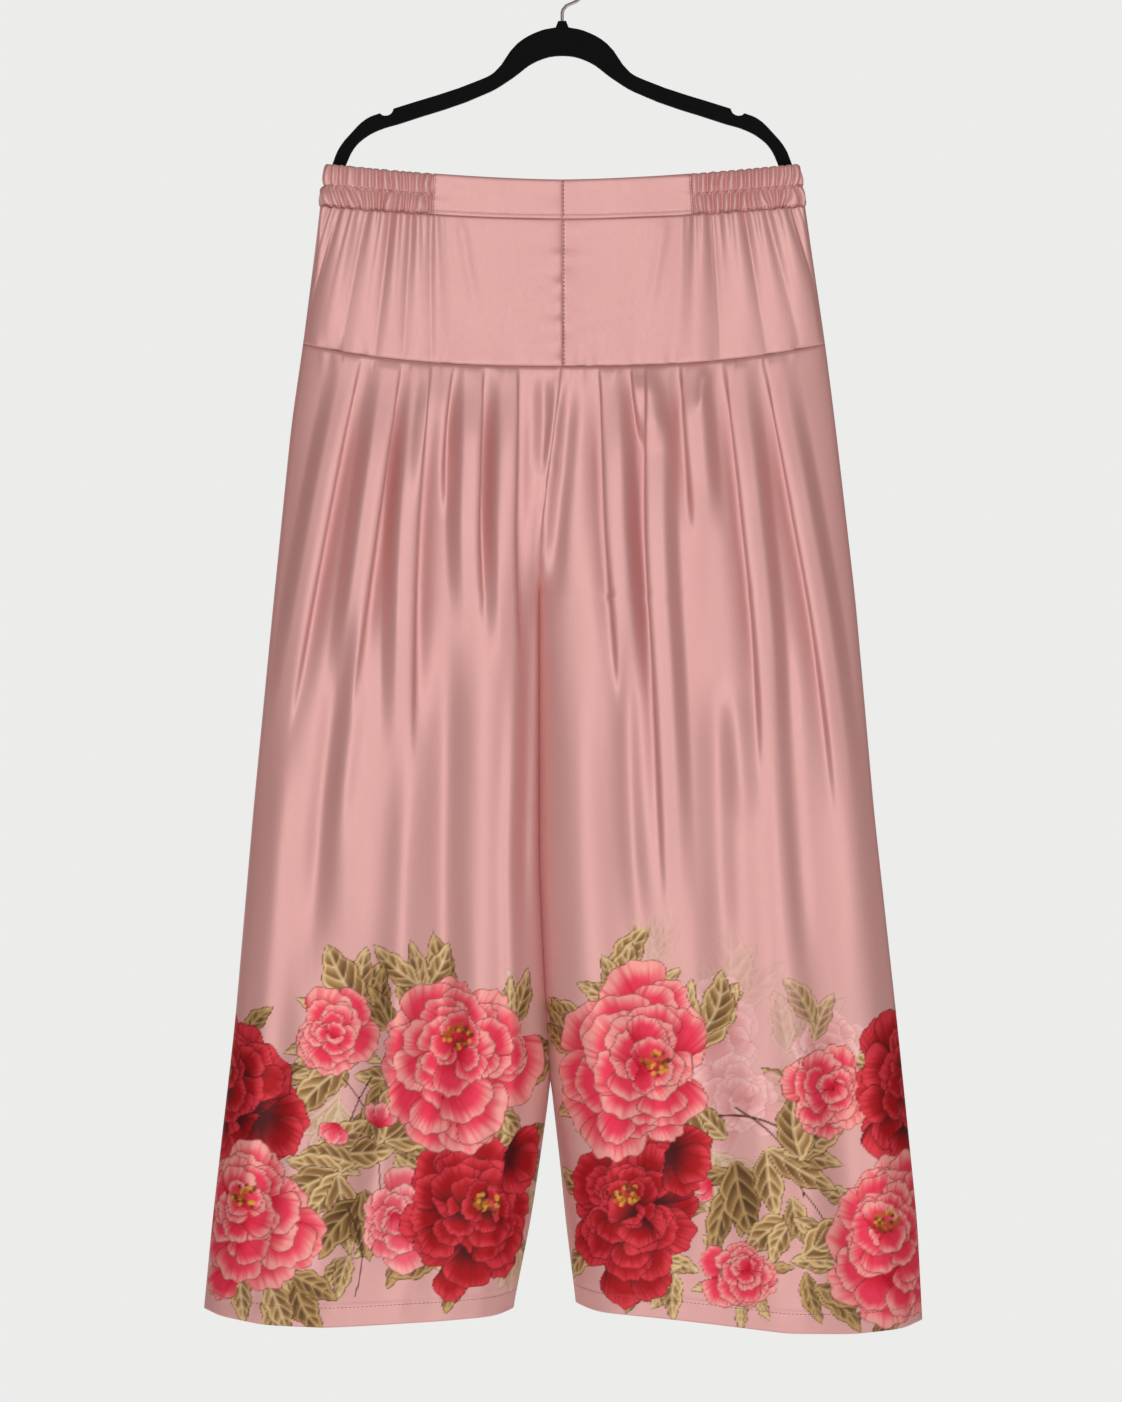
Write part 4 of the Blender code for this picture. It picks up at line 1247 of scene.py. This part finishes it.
def puffed(phase, power):
    """Rounded ridges, one for each whole number, with narrow creases between them."""
    return np.abs(np.cos(math.pi * phase)) ** power


def elastic_relief(side, face):
    seed = 61 + 5 * (side == "left") + 11 * (face == "back")

    def out(share, z, top, foot):
        down = np.clip((top - z) / (top - foot), 0.0, 1.0)
        along = share * half_width(side, z)
        channel = np.abs(np.sin(CHANNELS * math.pi * down)) ** 0.55
        lower = rise((down - 0.46) / 0.08)
        lean = 0.45 * lower * wander(along / 0.013, seed + 5) * (down - 0.5) * 4.0
        phase = along / GATHER + 0.40 * wander(along / 0.016, seed) + 0.5 * lower + lean
        phase = phase + 0.12 * wander2(along / 0.02, z / 0.010, seed + 1)
        depth = GATHER_DEPTH * (0.75 + 0.35 * wander(along / 0.012, seed + 2))
        swell = CHANNEL_SWELL * channel * (0.80 + 0.15 * wander(along / 0.02, seed + 3))
        ridges = depth * (puffed(phase, 0.85) - 0.70) * (0.50 + 0.50 * channel)
        zigzag = 0.0006 * puffed(along / 0.0036, 1.0) * (1.0 - channel)
        return swell + ridges + zigzag - 0.0009
    return out


def make_elastic_band(side):
    rows = np.linspace(0.0, 1.0, ELASTIC_ROWS)
    start = FLAT_BAND_SHARE + SEAM_GAP / half_width(side, BAND_TOP)
    front = torso_grid(side, "front", side_spaced(start, ELASTIC_FRONT_COLUMNS, 30.0), band_top,
                       band_end, rows, elastic_relief(side, "front"), SCALLOP)
    back = torso_grid(side, "back", side_spaced(0.0, ELASTIC_BACK_COLUMNS, 30.0), band_top,
                      band_end, rows, elastic_relief(side, "back"), SCALLOP)
    points = np.concatenate([front, back[:, ::-1]], axis=1)
    outward = facing_out(side, "front")
    for down in (0.5, 0.96):
        sew(points[:, 4:-4], int(down * (len(rows) - 1)), outward, FINE_STITCH)
    sign = SIDES[side]
    points = joined(face_edge(points[:, :1], -sign), points, face_edge(points[:, -1:], -sign))
    return cloth_piece("band_elastic_" + side, "waistband_elastic_" + side, finish_band(points),
                       outward, SATIN)


def finish_hanger():
    for node, material in (("hanger_body", velvet_material()), ("hanger_hook", wire_material())):
        cad_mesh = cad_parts[node].data
        cad_mesh.materials.clear()
        cad_mesh.materials.append(material)


# ---------------------------------------------------------------- stage, lights, camera
BACKDROP = srgb(236, 236, 235)


def make_stage():
    floor_mesh = bpy.data.meshes.new("floor")
    floor_z = HEM_Z - 0.75
    count, radius = 64, 4.0
    ring = [(radius * math.cos(a), radius * math.sin(a), floor_z)
            for a in np.linspace(0.0, 2.0 * math.pi, count, endpoint=False)]
    floor_mesh.from_pydata(ring, [], [tuple(range(count))])
    floor = bpy.data.objects.new("floor", floor_mesh)
    bpy.context.scene.collection.objects.link(floor)
    material, _, shader = new_material("pale_floor")
    shader.inputs["Base Color"].default_value = BACKDROP + (1.0,)
    shader.inputs["Roughness"].default_value = 0.9
    shader.inputs["Emission Color"].default_value = BACKDROP + (1.0,)
    shader.inputs["Emission Strength"].default_value = 0.35
    floor_mesh.materials.append(material)


def make_world():
    world = bpy.data.worlds.new("studio")
    bpy.context.scene.world = world
    world.use_nodes = True
    nodes, links = world.node_tree.nodes, world.node_tree.links
    back = nodes["Background"]
    back.inputs["Color"].default_value = BACKDROP + (1.0,)
    back.inputs["Strength"].default_value = 1.0
    fill = nodes.new("ShaderNodeBackground")
    fill.inputs["Color"].default_value = (1.0, 0.74, 0.70, 1.0)
    fill.inputs["Strength"].default_value = 0.25
    path = nodes.new("ShaderNodeLightPath")
    both = nodes.new("ShaderNodeMixShader")
    links.new(path.outputs["Is Camera Ray"], both.inputs["Fac"])
    links.new(fill.outputs["Background"], both.inputs[1])
    links.new(back.outputs["Background"], both.inputs[2])
    links.new(both.outputs["Shader"], nodes["World Output"].inputs["Surface"])


def add_area(name, place, aim, size, power, color=(1.0, 1.0, 1.0)):
    light = bpy.data.lights.new(name, "AREA")
    light.shape = "RECTANGLE"
    light.size, light.size_y = size
    light.energy = power
    light.color = color
    lamp = bpy.data.objects.new(name, light)
    lamp.location = place
    lamp.rotation_euler = (Vector(aim) - Vector(place)).to_track_quat("-Z", "Y").to_euler()
    bpy.context.scene.collection.objects.link(lamp)


def make_lights():
    middle = (0.0, 0.0, (WAIST_Z + HEM_Z) / 2)
    add_area("key", (-0.25, -3.9, -0.1), middle, (1.3, 2.8), 57.0)
    add_area("fill", (2.2, -2.8, -0.3), middle, (1.2, 2.2), 8.0)
    add_area("back_key", (0.25, 3.9, -0.1), middle, (1.2, 2.6), 66.0)
    add_area("back_fill", (-2.2, 2.8, -0.3), middle, (1.2, 2.2), 8.0)


def make_camera():
    """Level, straight in front, with the frame's height set at the cloth."""
    distance = 5.0
    frame_height = LENGTH * 1.1985
    data = bpy.data.cameras.new("camera")
    data.sensor_width = 36.0
    data.lens = data.sensor_width * (distance - 0.02) / frame_height
    data.clip_end = 50.0
    camera = bpy.data.objects.new("camera", data)
    camera.location = (-0.001, -distance, WAIST_Z - 0.4605 * LENGTH)
    camera.rotation_euler = (math.pi / 2, 0.0, 0.0)
    bpy.context.scene.collection.objects.link(camera)
    bpy.context.scene.camera = camera


bpy.context.scene.view_settings.view_transform = "Standard"
make_camera()
make_world()
make_lights()
make_stage()
finish_hanger()
for side in SIDES:
    bands = [declare(make_flat_band(side)),
             declare(make_elastic_band(side))]
    for face in FACES:
        yoke = declare(make_yoke(side, face))
        declare(make_leg(side, face))
make_stitching(thread_material())
